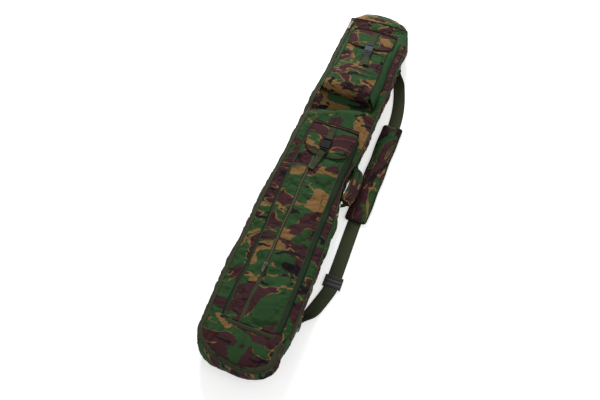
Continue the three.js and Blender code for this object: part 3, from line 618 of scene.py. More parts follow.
def puff(grid, amount):
    """Small wrinkles in a cloth grid, along its own normal."""
    wave = 0.5 * creases(grid, (0.35, 1, 0.1), (1, -0.35, 0.2), 21)
    wave = wave + 0.5 * creases(grid, (1, 0.3, 0.1), (-0.3, 1, 0.2), 22) + 0.6 * noise(grid, 0.02, 23)
    return grid + grid_normals(grid) * (wave * amount)[..., None]


def strip_cloth(grid, seed):
    """Unrolled lengths along both directions of a grid: rows run along, columns across."""
    across = np.zeros(grid.shape[:2])
    across[:, 1:] = np.cumsum(np.linalg.norm(np.diff(grid, axis=1), axis=2), axis=1)
    return stack(across, -distance_along(grid[:, grid.shape[1] // 2])[:, None], seed)


def turned_strip_cloth(grid, seed):
    """The same for a grid whose columns run along."""
    return strip_cloth(grid.transpose(1, 0, 2), seed).transpose(1, 0, 2)


def stitches(name, path, body, up=(0, 0, 1.0), pitch=0.0042, length=0.0030, radius=0.00035):
    """A row of thread stitches lying on a path of points."""
    path = resample(path, pitch)[:, None, None]
    tangent = unit(np.gradient(path, axis=0))
    side = unit(np.cross(tangent, up))
    turn = (2 * math.pi * np.arange(5) / 5)[:, None]
    share = np.array([-0.5, -0.3, 0.3, 0.5])[:, None, None]
    thick = np.array([0.35, 1.0, 1.0, 0.35])[:, None, None]
    round_it = side * np.cos(turn) + np.cross(side, tangent) * np.sin(turn)
    rings = path + tangent * share * length + round_it * radius * thick
    return fit(small_solids(name, rings, THREAD, inside_out=True), body)


def welt(name, path, radius, lift=0.0, material=EDGE, body="root"):
    """A cord sewn into a seam."""
    path = smooth_path(path + np.array([0, 0, lift]), 0.004, passes=2)
    return fit(tube(name, path, radius, material), body)


# Letting cloth fill and wrinkle
JOBS = {}
CLOTH_SETTINGS = {
    "quality": 4, "mass": 0.25, "tension_stiffness": 14, "compression_stiffness": 14, "shear_stiffness": 4,
    "bending_stiffness": 0.12, "air_damping": 2, "use_pressure": True, "vertex_group_mass": "held",
}
FILL_FRAMES = 16


def fill_later(name, grid, free, pressure, slack, cap, wrap=False):
    """Queues a cloth grid. Places with free 0 stay put, slack is spare cloth, and cap limits each move."""
    JOBS[name] = {"grid": grid, "free": free, "pressure": pressure, "slack": slack, "cap": cap, "wrap": wrap}


def cloth_object(name, job):
    grid = job["grid"]
    mesh = bpy.data.meshes.new(name)
    faces = grid_faces(*grid.shape[:2], wrap_v=job["wrap"])
    mesh.from_pydata(grid.reshape(-1, 3).tolist(), [], faces)
    obj = bpy.data.objects.new("fill_" + name, mesh)
    bpy.context.scene.collection.objects.link(obj)
    group = obj.vertex_groups.new(name="held")
    for i, free in enumerate(job["free"].ravel()):
        if free < 1:
            group.add([i], 1 - float(free), "REPLACE")
    cloth = obj.modifiers.new("cloth", "CLOTH")
    for key, value in CLOTH_SETTINGS.items():
        setattr(cloth.settings, key, value)
    cloth.settings.uniform_pressure_force = job["pressure"]
    cloth.settings.shrink_min = -job["slack"]
    cloth.settings.effector_weights.gravity = 0
    cloth.collision_settings.use_collision = False
    cloth.point_cache.frame_start = 1
    cloth.point_cache.frame_end = FILL_FRAMES
    return obj


def fill_all():
    """Runs every queued grid as pressed-out cloth with its seams held, and returns their new places."""
    made = {name: cloth_object(name, job) for name, job in JOBS.items()}
    scene = bpy.context.scene
    for number in range(1, FILL_FRAMES + 1):
        scene.frame_set(number)
    graph = bpy.context.evaluated_depsgraph_get()
    filled = {}
    for name, obj in made.items():
        grid, cap = JOBS[name]["grid"], JOBS[name]["cap"]
        mesh = obj.evaluated_get(graph).to_mesh()
        places = np.zeros(len(mesh.vertices) * 3, np.float32)
        mesh.vertices.foreach_get("co", places)
        moved = places.reshape(grid.shape).astype(float) - grid
        size = np.linalg.norm(moved, axis=-1, keepdims=True)
        filled[name] = grid + moved * (cap * np.tanh(size / cap) / np.maximum(size, 1e-9))
    for obj in made.values():
        bpy.data.objects.remove(obj)
    scene.frame_set(1)
    JOBS.clear()
    return filled


def refine(grid, wrap=False):
    """The same surface with a new row and column between every two, on smooth curves through them."""
    for axis in (0, 1):
        g = np.moveaxis(grid, axis, 0)
        if wrap and axis == 1:
            middles = (9 * (g + np.roll(g, -1, 0)) - np.roll(g, 1, 0) - np.roll(g, -2, 0)) / 16
            out = np.stack([g, middles], 1).reshape(-1, *g.shape[1:])
        else:
            padded = np.concatenate([2 * g[:1] - g[1:2], g, 2 * g[-1:] - g[-2:-1]])
            out = np.zeros((2 * len(g) - 1, *g.shape[1:]))
            out[::2] = g
            out[1::2] = (9 * (padded[1:-2] + padded[2:-1]) - padded[:-3] - padded[3:]) / 16
        grid = np.moveaxis(out, 0, axis)
    return grid


def held_edges(nu, nv, reach=2.0, sides="udlr"):
    """1 inside a grid, easing to 0 at its held edges (u first row, d last row, l first column, r last)."""
    i, j = np.mgrid[0:nu, 0:nv].astype(float)
    free = np.ones((nu, nv))
    for side, away in (("u", i), ("d", nu - 1 - i), ("l", j), ("r", nv - 1 - j)):
        if side in sides:
            free = np.minimum(free, np.clip(away / reach, 0, 1))
    return free


# Main bag: walls, front panel and soft top end
ZIP_BAND = 0.0112
ZIP_EDGE = 0.003  # how far the outer tape's edge lies inside the leaning front edge
CHAIN_INSET = 0.0066
LEFT_LEAN = 0.010  # the left wall leans in this far by its front edge
LEFT_LEAN_TOP = 0.0055  # and this far at the two ends of the slider's run
SIDE_FOOT = 0.014  # how far the back's seam lies inside the widest line
BASE_FOOT = 0.026
FOOT_HEIGHT = 0.002  # of the back's seam
WALL_BULGE = 0.003
WALL_COLUMNS = 20
PATCHES = (
    "strap_tab_patch", "handle_upper_patch", "handle_lower_patch", "upper_strap_tab", "lower_strap_tab",
)


def tab_dent(y, z):
    """How far the upper tab and the handle's grip press the right wall in."""
    tab = 0.0065 * bump(y, TAB_Y, 0.030) * bump(z, 0.045, 0.035)
    return tab + 0.0055 * bump(y, HANDLE_Y, 0.065) * bump(z, 0.062, 0.026)


def wall_swell(x, y):
    return 0.0035 * noise(stack(x, y, 0), 0.12, 31)


def inward_of(path):
    tangent = unit(np.gradient(path, axis=0))
    return np.stack([-tangent[:, 1], tangent[:, 0]], 1)


def left_lean(y):
    near_end = ease(y, TOP_END - 0.175, TOP_END - 0.035)
    near_end = near_end + ease(-y, -BASE_TURN - 0.125, -BASE_TURN - 0.025)
    return LEFT_LEAN + (LEFT_LEAN_TOP - LEFT_LEAN) * near_end


def lean(path):
    return left_lean(path[:, 1]) * ease(-path[:, 0], 0.0, 0.09)


def front_line(inset):
    """Plan of a line round the front edge, at a distance inside it."""
    path = whole_outline()
    return path + inward_of(path) * (lean(path) + inset)[:, None]


loop = whole_outline()


def wall_places():
    """The walls as one grid round the bag, from the back's seam up to the front edge."""
    inward = inward_of(loop)
    edge_line = front_line(ZIP_EDGE - 0.0005)
    edge_rise = front_height(edge_line[:, 0], edge_line[:, 1]) - 0.001
    side_share = ease(loop[:, 1], BASE_CORNER_Y - 0.05, BASE_CORNER_Y + 0.02)
    t = np.linspace(0, 1, WALL_COLUMNS)[None]
    foot = (BASE_FOOT + (SIDE_FOOT - BASE_FOOT) * side_share)[:, None] * (1 - t) ** 2.2
    bulge = (WALL_BULGE + wall_swell(*loop.T) * side_share)[:, None] * np.sin(math.pi * t)
    inset = foot + (lean(loop) + ZIP_EDGE)[:, None] * t**3 - bulge
    height = FOOT_HEIGHT + (edge_rise[:, None] - FOOT_HEIGHT) * (t * 0.96 + 0.04 * t**2)
    grid = np.concatenate([loop[:, None] + inward[:, None] * inset[..., None], height[..., None]], -1)
    unrolled = stack(distance_along(loop)[:, None], height, 0)
    fold = 0.0010 * creases(unrolled, (0.5, 1, 0), (1, -0.5, 0), 33)
    fold = fold + 0.0008 * creases(unrolled, (-0.8, 0.5, 0), (0.5, 0.8, 0), 34)
    fold = fold + 0.0022 * noise(unrolled, (0.045, 0.05, 1), 35)
    grid[..., :2] -= inward[:, None] * (fold * np.sin(math.pi * t))[..., None]
    grid[..., X] -= tab_dent(grid[..., Y], grid[..., Z]) * (grid[..., X] > 0)
    gather_y = round(TAB_Y - 0.058, 4)
    gather = bump(grid[..., Y], gather_y, 0.035) * (grid[..., X] > 0)  # cloth drawn up below the tab
    fold_line = np.sin((grid[..., Y] + 0.35 * grid[..., Z]) * 2 * math.pi / 0.032)
    grid[..., X] += 0.004 * gather * fold_line * ease(grid[..., Z], 0.02, 0.06)
    return settle(grid)


def wall_freedom():
    """Held at both seams, at the two corner seams and under the sewn patches."""
    rows, columns = np.arange(len(walls)), np.arange(WALL_COLUMNS)
    free = held_edges(*walls.shape[:2], 2.5, "ud")
    free = free * np.clip(np.minimum(columns, WALL_COLUMNS - 1 - columns) / 2.0, 0, 1)[None]
    for corner in (last_left, first_right):
        free = free * np.clip(np.abs(rows - corner) / 2.0, 0, 1)[:, None]
    x, y, z = np.moveaxis(walls, -1, 0)
    for low, high in map(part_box, PATCHES):
        beside = (y > low.y - 0.004) & (y < high.y + 0.004) & (z > low.z - 0.006) & (z < high.z + 0.006)
        free = np.where((x > 0.05) & beside, 0.0, free)
    return free


walls = wall_places()
at_sides = loop[:, 1] > BASE_CORNER_Y - 0.002
last_left = np.nonzero((loop[:, 0] < 0) & at_sides)[0][-1]
first_right = np.nonzero((loop[:, 0] > 0) & at_sides)[0][0]
fill_later("walls", walls, wall_freedom(), pressure=2.2, slack=0.035, cap=0.008)


def panel_edge(y, side):
    """x of the front panel's own edge, inside the zip band where there is one."""
    band = ZIP_BAND + left_lean(y)
    if side > 0:
        band = ZIP_BAND + (ZIP_EDGE - ZIP_BAND) * ease(y, BASE_CORNER_Y, BASE_CORNER_Y + 0.045)
    share = rounded((BASE_CORNER_Y - y) / (BASE_RADIUS - ZIP_BAND))
    flat = BASE_FLAT - 0.004
    return side * (flat + (wide_x(y, side) - band - flat) * share)


def front_freedom(x, y):
    """Held at its edges and under the two pockets."""
    x, y = np.broadcast_arrays(x, y)
    free = held_edges(*x.shape)
    for prefix in ("upper", "lower"):
        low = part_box(prefix + "_pocket_left_gusset")[0]
        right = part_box(prefix + "_pocket_right_gusset")[1].x
        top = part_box(prefix + "_flap_seam")[1].y
        away = np.maximum.reduce([low.x - 0.002 - x, x - right - 0.002, low.y - 0.006 - y, y - top - 0.002])
        free = free * np.clip(away / 0.008, 0, 1)
    return free


round_end = np.sin(np.linspace(math.pi / 2, 0, 16, endpoint=False))
y_front = np.concatenate([
    BASE_CORNER_Y - (BASE_RADIUS - ZIP_BAND) * round_end,
    np.linspace(BASE_CORNER_Y, TOP_CORNER_Y - 0.001, 250),
])
front_x = between(panel_edge(y_front, -1), panel_edge(y_front, 1), np.linspace(0, 1, 52))
front_plan = stack(front_x, y_front[:, None], 1.0)[:, ::-1]
front_free = front_freedom(front_x, y_front[:, None])
front_grid = settle(front(front_x, y_front[:, None]))
fill_later("front", front_grid[:, ::-1], front_free[:, ::-1], pressure=3.0, slack=0.05, cap=0.010)


def top_end():
    """The soft top end, hanging from the seam across the front, and that seam."""
    across = np.linspace(-1, 1, 60)
    corner = np.array(TOP_CORNER_Y)
    left = side_x(corner, -1) - LEFT_LEAN_TOP - 0.002
    right = side_x(corner, 1) - 0.004
    seam_x = np.where(across < 0, across * left, across * right)
    seam = front(seam_x, TOP_CORNER_Y - 0.001)
    rim_y = TOP_CORNER_Y + (TOP_Y - TOP_CORNER_Y) * np.cos(across * math.pi / 2)
    rim_x = np.where(across < 0, -side_x(rim_y, -1), side_x(rim_y, 1))
    rim_x = rim_x * np.clip(np.abs(across) / 0.22, 0, 1)
    rim = stack(rim_x, rim_y, 0.044)
    foot = stack(rim_x * 0.90, TOP_CORNER_Y + (rim_y - TOP_CORNER_Y) * 0.86, FOOT_HEIGHT)
    control = 2 * rim - (seam + foot) / 2
    v = np.linspace(0, 1, 30)[None, :, None]
    grid = seam[:, None] * (1 - v) ** 2 + control[:, None] * 2 * v * (1 - v) + foot[:, None] * v**2
    hang = np.sin(math.pi * np.clip(v[..., 0] / 0.5, 0, 1))
    grid[..., Z] -= (0.007 * bump(grid[..., X], -0.03, 0.04) + 0.005 * bump(grid[..., X], 0.07, 0.03)) * hang
    return settle(grid), seam


cap, top_seam = top_end()
fill_later("cap", cap, held_edges(*cap.shape[:2]), pressure=2.0, slack=0.06, cap=0.010)


# Shape of the pockets
class Face:
    """A pocket's outer face: a side view of (y, z) points, read by distance s from its flap's seam."""

    def __init__(self, side_view, stations, left, right, droop, crown_reach):
        self.view = smooth_path(side_view, 0.002, passes=6)
        self.at = distance_along(self.view)
        tangent = unit(np.gradient(self.view, axis=0))
        self.normal = np.stack([tangent[:, 1], -tangent[:, 0]], 1)
        self.stations, self.left, self.right = stations, np.round(left, 4), np.round(right, 4)
        self.droop = droop
        self.crown_reach = crown_reach
        self.length = self.at[-1]
        self.relief = None

    def edges(self, s):
        return np.interp(s, self.stations, self.left), np.interp(s, self.stations, self.right)

    def point(self, x, s, lift=0.0):
        """A place on the face, or lift off it, with the way it filled out once that is known."""
        x, s = np.broadcast_arrays(np.asarray(x, float), np.asarray(s, float))
        left, right = self.edges(s)
        gap = np.maximum(np.minimum(x - left, right - x), 0)
        off = lift - self.droop * np.exp(-gap / self.crown_reach)
        place = read_path(self.view, self.at, s.ravel()).reshape(*s.shape, 2)
        normal = read_path(self.normal, self.at, s.ravel()).reshape(*s.shape, 2)
        side_view = place + normal * off[..., None]
        p = settle(stack(x, side_view[..., 0], side_view[..., 1]))
        if self.relief is None:
            return p
        return p + self.relief_at(np.clip((x - left) / (right - left), 0, 1), np.clip(s / self.length, 0, 1))

    def relief_at(self, across, down):
        """The relief grid read between its points."""
        r = self.relief
        rows, columns = r.shape[0] - 1, r.shape[1] - 1
        u, v = across * columns, down * rows
        i, j = np.minimum(v.astype(int), rows - 1), np.minimum(u.astype(int), columns - 1)
        fv, fu = (v - i)[..., None], (u - j)[..., None]
        upper_row = r[i, j] * (1 - fu) + r[i, j + 1] * fu
        return upper_row * (1 - fv) + (r[i + 1, j] * (1 - fu) + r[i + 1, j + 1] * fu) * fv

    def grid(self, rows, columns):
        """Its points, and the x and s of each."""
        s = np.linspace(0, self.length, rows)
        x = between(*self.edges(s), np.linspace(0, 1, columns))
        return self.point(x, s[:, None]), x, np.broadcast_to(s[:, None], x.shape)


def upper_face():
    low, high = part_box("upper_pocket_front")
    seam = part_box("upper_flap_seam")
    foot_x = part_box("upper_pocket_bottom")[1].x
    run = UP_SEAM_Y - UP_FOOT_Y
    z = low.z + 0.0022
    rise = high.z - z
    side_view = [
        (UP_SEAM_Y, z), (UP_SEAM_Y - run * 0.33, z + rise * 0.33), (UP_SEAM_Y - run * 0.66, z + rise * 0.68),
        (UP_FOOT_Y + 0.030, z + rise * 0.98), (UP_FOOT_Y + 0.012, z + rise * 0.98),
        (UP_FOOT_Y + 0.001, z + rise * 0.82), (UP_FOOT_Y - 0.001, z + rise * 0.5),
        (UP_FOOT_Y + 0.004, z + rise * 0.15), (UP_FOOT_Y + 0.008, 0.092),
    ]
    lefts = [seam[0].x, seam[0].x - 0.003, low.x, low.x + 0.002]
    rights = [seam[1].x, seam[1].x - 0.001, foot_x, foot_x - 0.004]
    return Face(side_view, [0, 0.07, 0.27, 0.40], lefts, rights, droop=0.005, crown_reach=0.011)


def lower_face():
    low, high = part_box("lower_pocket_front")
    left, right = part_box("lower_pocket_sleeve")[0].x, high.x
    top_z, end_z = high.z + 0.0002, low.z + 0.003
    side_view = [
        (LOW_SEAM_Y, top_z), (LOW_SEAM_Y - 0.2, top_z * 0.7 + end_z * 0.3),
        (low.y + 0.1, top_z * 0.15 + end_z * 0.85), (low.y + 0.01, end_z),
        (low.y + 0.002, end_z - 0.001), (low.y - 0.001, 0.094),
    ]
    lefts = [left, left, left + 0.003, left + 0.003]
    rights = [right, right + 0.001, right, right]
    return Face(side_view, [0, 0.3, 0.65, 0.70], lefts, rights, droop=0.004, crown_reach=0.010)


UP_SEAM_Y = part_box("upper_flap")[1].y - 0.0002
LOW_SEAM_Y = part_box("lower_flap")[1].y
UPPER, LOWER = upper_face(), lower_face()
FACES = {"upper": UPPER, "lower": LOWER}
SEAM_Y = {"upper": UP_SEAM_Y, "lower": LOW_SEAM_Y}
BUCKLE_X = {prefix: middle(prefix + "_buckle_socket", X) for prefix in FACES}
FLAP_LENGTH = {p: SEAM_Y[p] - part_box(p + "_flap_binding")[0].y + 0.0005 for p in FACES}
ZIP_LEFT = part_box("pocket_zip_tape")[0].x
ZIP_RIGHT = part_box("pocket_zip_tape")[1].x
UP_ROLL = UPPER.length - 0.038  # where the upper pocket's face turns down into its end
LOW_ROLL = LOWER.length - 0.006


def under_flap(s, length):
    """A little free under the flap, fully free below it."""
    return 0.15 + 0.85 * ease(s, length - 0.008, length + 0.010)


def fill_upper():
    grid, x, s = UPPER.grid(100, 36)
    length = FLAP_LENGTH["upper"]
    free = held_edges(*x.shape) * np.clip(np.abs(s - UP_ROLL) / 0.008, 0.35, 1) * under_flap(s, length)
    below = 1 - ease(s, length + 0.07, length + 0.10)
    free = free * (1 - bump(x, BUCKLE_X["upper"], 0.012) * below)
    fill_later("upper", grid, free, pressure=3.5, slack=0.045, cap=0.010)
    return grid


def fill_lower():
    grid, x, s = LOWER.grid(170, 34)
    length = FLAP_LENGTH["lower"]
    zip_away = np.abs(x - (ZIP_LEFT + ZIP_RIGHT) / 2) - (ZIP_RIGHT - ZIP_LEFT) / 2
    free = held_edges(*x.shape) * np.clip(zip_away / 0.008, 0, 1) * under_flap(s, length)
    below = 1 - ease(s, length + 0.02, length + 0.05)
    free = free * (1 - bump(x, BUCKLE_X["lower"] - 0.008, 0.014) * below)
    fill_later("lower", grid, free, pressure=3.0, slack=0.05, cap=0.009)
    return grid


# Everything soft on the bag fills at once, with its seams and the places under webbing and buckles held.
upper_start, lower_start = fill_upper(), fill_lower()
filled = fill_all()
UPPER.relief = filled["upper"] - upper_start
LOWER.relief = filled["lower"] - lower_start


# Main bag: its cloth pieces, zip and piping
ZIP_END_Y = BASE_CORNER_Y + 0.025  # the zip runs down the left side and round the base end to here


def wall_cloths():
    grid = refine(filled["walls"])
    cloth = strip_cloth(grid, 4.1)
    left_end, right_start = 2 * last_left, 2 * first_right  # refine doubles the rows
    for name, rows, nodes in (
        ("left_gusset_cloth", slice(0, left_end + 1), ["left_gusset"]),
        ("base_gusset_cloth", slice(left_end, right_start + 1), ["base_gusset", "base_stiffener"]),
        ("right_gusset_cloth", slice(right_start, None), ["right_gusset"]),
    ):
        fit(sheet(name, grid[rows], 0.0025, CAMO, cloth[rows]), "root", *nodes)


wall_cloths()
front_fine, cap_fine = refine(filled["front"]), refine(filled["cap"])
fit(sheet("front_panel_cloth", front_fine, 0.003, CAMO, refine(front_plan)), "root", "front_panel")
fit(sheet("top_end_cloth", cap_fine, 0.0025, CAMO, turned_strip_cloth(cap_fine, 6.3)), "root", "top_end_cap")


def back_panel():
    """A plain sheet on the ground, closed to the walls by a piped seam."""
    turning = int(np.argmin(walls[:, 0, Y]))
    left_foot = np.concatenate([cap[:30, -1, :2][::-1], walls[: turning + 1, 0, :2]])
    right_foot = np.concatenate([cap[30:, -1, :2], walls[turning:, 0, :2][::-1]])
    foot_y = np.concatenate([left_foot, right_foot])[:, 1]
    y = np.linspace(foot_y.min() + 0.001, foot_y.max() - 0.001, 190)

    def foot_x(line):
        order = np.argsort(line[:, 1])
        return np.interp(y, line[order, 1], line[order, 0])

    u = np.linspace(0, 1, 24)
    hollow = 0.0012 * (1 - np.abs(2 * u - 1) ** 4)
    grid = stack(between(foot_x(left_foot), foot_x(right_foot), u), y[:, None], 0.0006 + hollow)
    cloth = stack(grid[..., X], grid[..., Y], 5.0)
    fit(sheet("back_panel_cloth", grid, 0.0011, GREEN_CLOTH, cloth), "root", "back_panel", "back_padding")


back_panel()


def zipped_part(line):
    """Which places of a line round the bag the main zip passes."""
    return (line[:, 0] < 0.02) | (line[:, 1] < ZIP_END_Y)


def band_strip(near, far, lift, seed, node):
    """A flat tape along the front edge, between two distances in from it."""
    keep = zipped_part(loop)
    plan = np.stack([front_line(d)[keep] for d in np.linspace(near, far, 6)], 1)
    strip = settle(front(plan[..., 0], plan[..., 1]))[:, ::-1]
    strip = strip + grid_normals(strip) * lift
    return fit(sheet(node + "_cloth", strip, 0.0014, OLIVE_TAPE, strip_cloth(strip, seed)), "root", node)


band_strip(ZIP_EDGE - 0.0015, CHAIN_INSET - 0.0012, 0.0006, 2.0, "main_zip_tape_outer")
band_strip(CHAIN_INSET + 0.0012, ZIP_BAND + 0.002, -0.0004, 2.4, "main_zip_tape_inner")


def coil_zip(node, centre, across, half_width, material):
    """The meshed coils of a closed zip along a path: one small loop of each half in turn."""
    path = resample(centre, 0.00135)
    share = np.linspace(0, 1, len(path))
    across = unit(read_path(across, np.linspace(0, 1, len(across)), share))
    tangent = unit(np.gradient(path, axis=0))
    up = np.cross(tangent, across)
    up = up * np.sign(up[:, 2:])
    path, across, tangent, up = (v[:, None, None] for v in (path, across, tangent, up))
    sideways = np.array([-1, -0.75, 0.75, 1])[:, None]
    height = np.array([-0.35, 0.5, 0.5, -0.35])[:, None]
    layer = np.array([-0.00052, -0.0003, 0.0003, 0.00052])[:, None, None]
    grow = np.array([0.8, 1.0, 1.0, 0.8])[:, None, None]
    shift = np.where(np.arange(len(path)) % 2, 0.0004, -0.0004)[:, None, None, None]
    rings = path + across * (sideways * half_width * grow + shift) + up * (0.0012 * height * grow)
    rings = rings + tangent * layer
    return fit(small_solids(node + "_coils", rings, material, False, smooth=False), "root", node)


def main_chain():
    keep = zipped_part(loop)
    plan = front_line(CHAIN_INSET)[keep]
    chain = settle(front(plan[:, 0], plan[:, 1])) + np.array([0, 0, 0.0012])
    side_way = np.concatenate([inward_of(loop)[keep], np.zeros((len(plan), 1))], 1)
    coil_zip("main_zip_chain", chain, side_way, 0.0019, COIL)


def at_foot(line):
    """The line on the ground at the height of the back's seam."""
    return np.concatenate([line[:, :2], np.full((len(line), 1), FOOT_HEIGHT)], 1)


main_chain()
edge_plan = front_line(ZIP_EDGE - 0.0015)
welt("front_edge_welt", settle(front(edge_plan[:, 0], edge_plan[:, 1])), 0.0015, 0.0002, OLIVE_TAPE)
welt("back_edge_welt", at_foot(walls[:, 0]), 0.0018)
# The dark cord in the top seam is piping, and it also serves as painted shadow for the deep fold along this
# seam.
welt("top_end_welt", settle(top_seam), 0.0018, 0.0004)
welt("top_end_foot_welt", at_foot(cap[:, -1]), 0.0018)
welt("top_end_side_seam_left", cap_fine[0], 0.0014)
welt("top_end_side_seam_right", cap_fine[-1], 0.0014)


# Pocket pieces
def face_sheet(
    node, face, ends, x0, x1, rows, columns, wrinkle, seed, material=CAMO, thickness=0.0025, lift=0.0,
):
    """Cloth on part of a pocket's face; x0 and x1 are places or None for the face's own edge."""
    s = np.linspace(*ends, rows)
    left, right = face.edges(s)
    left = left if x0 is None else np.full_like(s, x0)
    right = right if x1 is None else np.full_like(s, x1)
    x = between(left, right, np.linspace(0, 1, columns))
    grid = puff(face.point(x, s[:, None], lift)[::-1], wrinkle)[::-1]
    fit(sheet(node + "_cloth", grid, thickness, material, stack(x, -s[:, None], seed)), "root", node)


def pocket_gusset(prefix, label, start, end, foot_shift, foot_lift, bulge, seed, material, seam, foot_seam):
    """The plain strip between a pocket's face and the bag, with a cord in each of its seams."""
    face = FACES[prefix]
    side = -1 if label == "left" else 1
    node = prefix + "_pocket_" + label + "_gusset"
    low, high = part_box(node)
    s = np.linspace(start, face.length - end, 120)
    top = face.point(face.edges(s)[0 if side < 0 else 1], s)
    outer_x = low.x if side < 0 else high.x
    foot_x = np.interp(s, [s[0], s[-1]], [outer_x + shift for shift in foot_shift])
    foot = settle(front(foot_x, top[:, 1])) + np.array([0, 0, foot_lift])
    v = np.linspace(0, 1, 22)
    out = np.array([side * bulge, 0, bulge * 0.6]) * np.sin(math.pi * v)[None, :, None]
    grid = top[:, None] * (1 - v)[None, :, None] + foot[:, None] * v[None, :, None] + out
    grid = grid if side < 0 else grid[::-1]
    wave = creases(grid, (0, 1, 0.3), (1, 0, 1), seed) * 0.0012 * np.sin(math.pi * v)
    grid = grid - grid_normals(grid) * wave[..., None]
    cloth = strip_cloth(grid, seed)
    name = prefix + "_" + label
    fit(sheet(name + "_gusset_cloth", grid[::-1], 0.0014, material, cloth[::-1]), "root", node)
    welt(name + "_seam", top, *seam)
    welt(name + "_foot_seam", foot, *foot_seam)


FLAP_DIP = {"upper": 0.0018, "lower": 0.0030}  # how far a flap's free edge is pressed down under its buckle
FLAP_LIFT = 0.0028
FLAP_BINDING_LIFT = -0.001
STITCH_INSET = 0.0065


def flap(prefix, radius, seed):
    """A U-shaped flap lying on a pocket, bound round its free edge; returns the reader of its surface."""
    body, face, length = prefix + "_flap", FACES[prefix], FLAP_LENGTH[prefix]
    x0, x1 = (corner.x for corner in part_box(prefix + "_flap_binding"))
    xc, half = (x0 + x1) / 2, (x1 - x0) / 2
    straight = length - radius

    def at(px, ps, extra=0.0):
        left, right = face.edges(ps)
        on_face = np.clip(px, left + 0.0005, right - 0.0005)
        free_edge = np.clip(np.abs((px - xc) / half), 0, 1) ** 2 + ease(ps, length * 0.5, length)
        rough = 0.4 + noise(stack(px, ps, 0), 0.028, int(seed * 10))
        under_buckle = bump(px, BUCKLE_X[prefix], 0.020)
        wave = (0.0010 + 0.0012 * free_edge) * rough * (1 - under_buckle)
        wave = wave - FLAP_DIP[prefix] * under_buckle * ease(ps, length * 0.55, length * 0.95)
        past = px - on_face
        place = face.point(on_face, ps, FLAP_LIFT + extra + wave * np.clip(ps / 0.02, 0, 1))
        return place + stack(past, 0, -0.35 * np.abs(past))

    curve = radius * np.sin(np.linspace(0, math.pi / 2, 34))
    s = np.concatenate([np.linspace(0, straight, 50, endpoint=False), straight + curve])
    drop = np.clip(s - straight, 0, radius)
    half_width = half - radius + np.sqrt(np.maximum(radius**2 - drop**2, 0))
    x = xc + np.linspace(-1, 1, 70)[None] * half_width[:, None]
    grid = puff(at(x, np.broadcast_to(s[:, None], x.shape))[::-1], 0.0006)[::-1]
    fit(sheet(body + "_cloth", grid, 0.0024, CAMO, stack(x, -s[:, None], seed)), body, body)

    a = np.linspace(0, math.pi / 2, 26)
    side_s = np.linspace(0.001, straight, 20, endpoint=False)
    back_s = np.linspace(straight, 0.001, 21)[1:]
    bend_x, bend_s = radius * np.cos(a), straight + radius * np.sin(a)
    edge_x = np.concatenate([[x0] * 20, x0 + radius - bend_x, x1 - radius + bend_x[::-1], [x1] * 20])
    edge_s = np.concatenate([side_s, bend_s, bend_s[::-1], back_s])
    path = smooth_path(at(edge_x, edge_s, FLAP_BINDING_LIFT), 0.003, passes=1)
    fit(tube(body + "_binding_tape", path, 0.0026, FLAP_EDGE, 10, flatten=0.8), body, body + "_binding")
    stitch_x = xc + (edge_x - xc) * (1 - STITCH_INSET / half)
    stitch_s = edge_s - STITCH_INSET * np.clip((edge_s - straight) / radius, 0, 1)
    stitches(body + "_stitches", at(stitch_x, stitch_s, 0.0008), body)
    top = face.point(np.linspace(x0, x1, 40), 0.002, 0.0030)
    return at, top


def seam_ramp(prefix, past_left, past_right, run, seed):
    """Cloth sloping from the flap's seam down to the bag, under a turned seam."""
    low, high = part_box(prefix + "_flap_seam")
    x = low.x - past_left + (high.x + past_right - low.x + past_left) * np.linspace(0, 1, 60)
    top = FACES[prefix].point(x, 0.0, 0.001) + np.array([0, 0.002, 0])
    foot = settle(front(x, SEAM_Y[prefix] + run)) + np.array([0, 0, 0.001])
    v = np.linspace(0, 1, 14)[None, :, None]
    grid = top[:, None] * (1 - v) + foot[:, None] * v
    grid[..., Z] -= 0.003 * np.sin(math.pi * v[..., 0]) * (1 + 0.4 * noise(grid, 0.03, 82))
    name = prefix + "_flap_seam_cloth"
    fit(sheet(name, grid, 0.0014, CAMO, turned_strip_cloth(grid, seed)), "root", prefix + "_flap_seam")
    welt(name + "_foot", foot, 0.0010, 0.0003)


def upper_end():
    """The upper pocket's lower end, sagging in folds."""
    s = np.linspace(UP_ROLL, UPPER.length, 30)
    x = between(*UPPER.edges(s), np.linspace(0, 1, 80))
    grid = UPPER.point(x, s[:, None])
    sag = np.abs(0.006 * noise(grid, (0.05, 0.2, 0.2), 61))
    grid[..., Y] -= sag * np.sin(math.pi * np.linspace(0, 1, 30))[:, None]
    cloth = stack(x, -s[:, None], 3.0)
    fit(sheet("upper_pocket_end_cloth", grid, 0.002, CAMO, cloth), "root", "upper_pocket_bottom")


# Upper pocket
face_sheet("upper_pocket_front", UPPER, (0.004, UP_ROLL), None, None, 190, 80, 0.0012, 3.0)
upper_end()
UPPER_SEAMS = ((0.0013, 0.0002), (0.0011, 0.0002))
pocket_gusset("upper", "left", 0.010, 0.035, (0.006, -0.002), 0.0005, 0.003, 71, GREEN_CLOTH, *UPPER_SEAMS)
pocket_gusset("upper", "right", 0.010, 0.035, (0.002, -0.001), 0.0005, 0.002, 74, GREEN_CLOTH, *UPPER_SEAMS)
seam_ramp("upper", 0.004, 0.003, 0.024, 3.7)
up_at, up_top = flap("upper", 0.034, 4.2)
welt("upper_flap_top_welt", up_top, 0.0022, body="upper_flap")

# Lower pocket
LOW_ENDS = (0.010, LOW_ROLL)
face_sheet("lower_pocket_sleeve", LOWER, LOW_ENDS, None, ZIP_LEFT + 0.001, 300, 34, 0.0011, 7.0)
face_sheet("lower_pocket_front", LOWER, LOW_ENDS, ZIP_RIGHT - 0.001, None, 300, 60, 0.0011, 7.0)
face_sheet("pocket_zip_tape", LOWER, LOW_ENDS, ZIP_LEFT, ZIP_RIGHT, 280, 10, 0.0, 7.5, OLIVE_TAPE,
           0.0012, -0.0012)


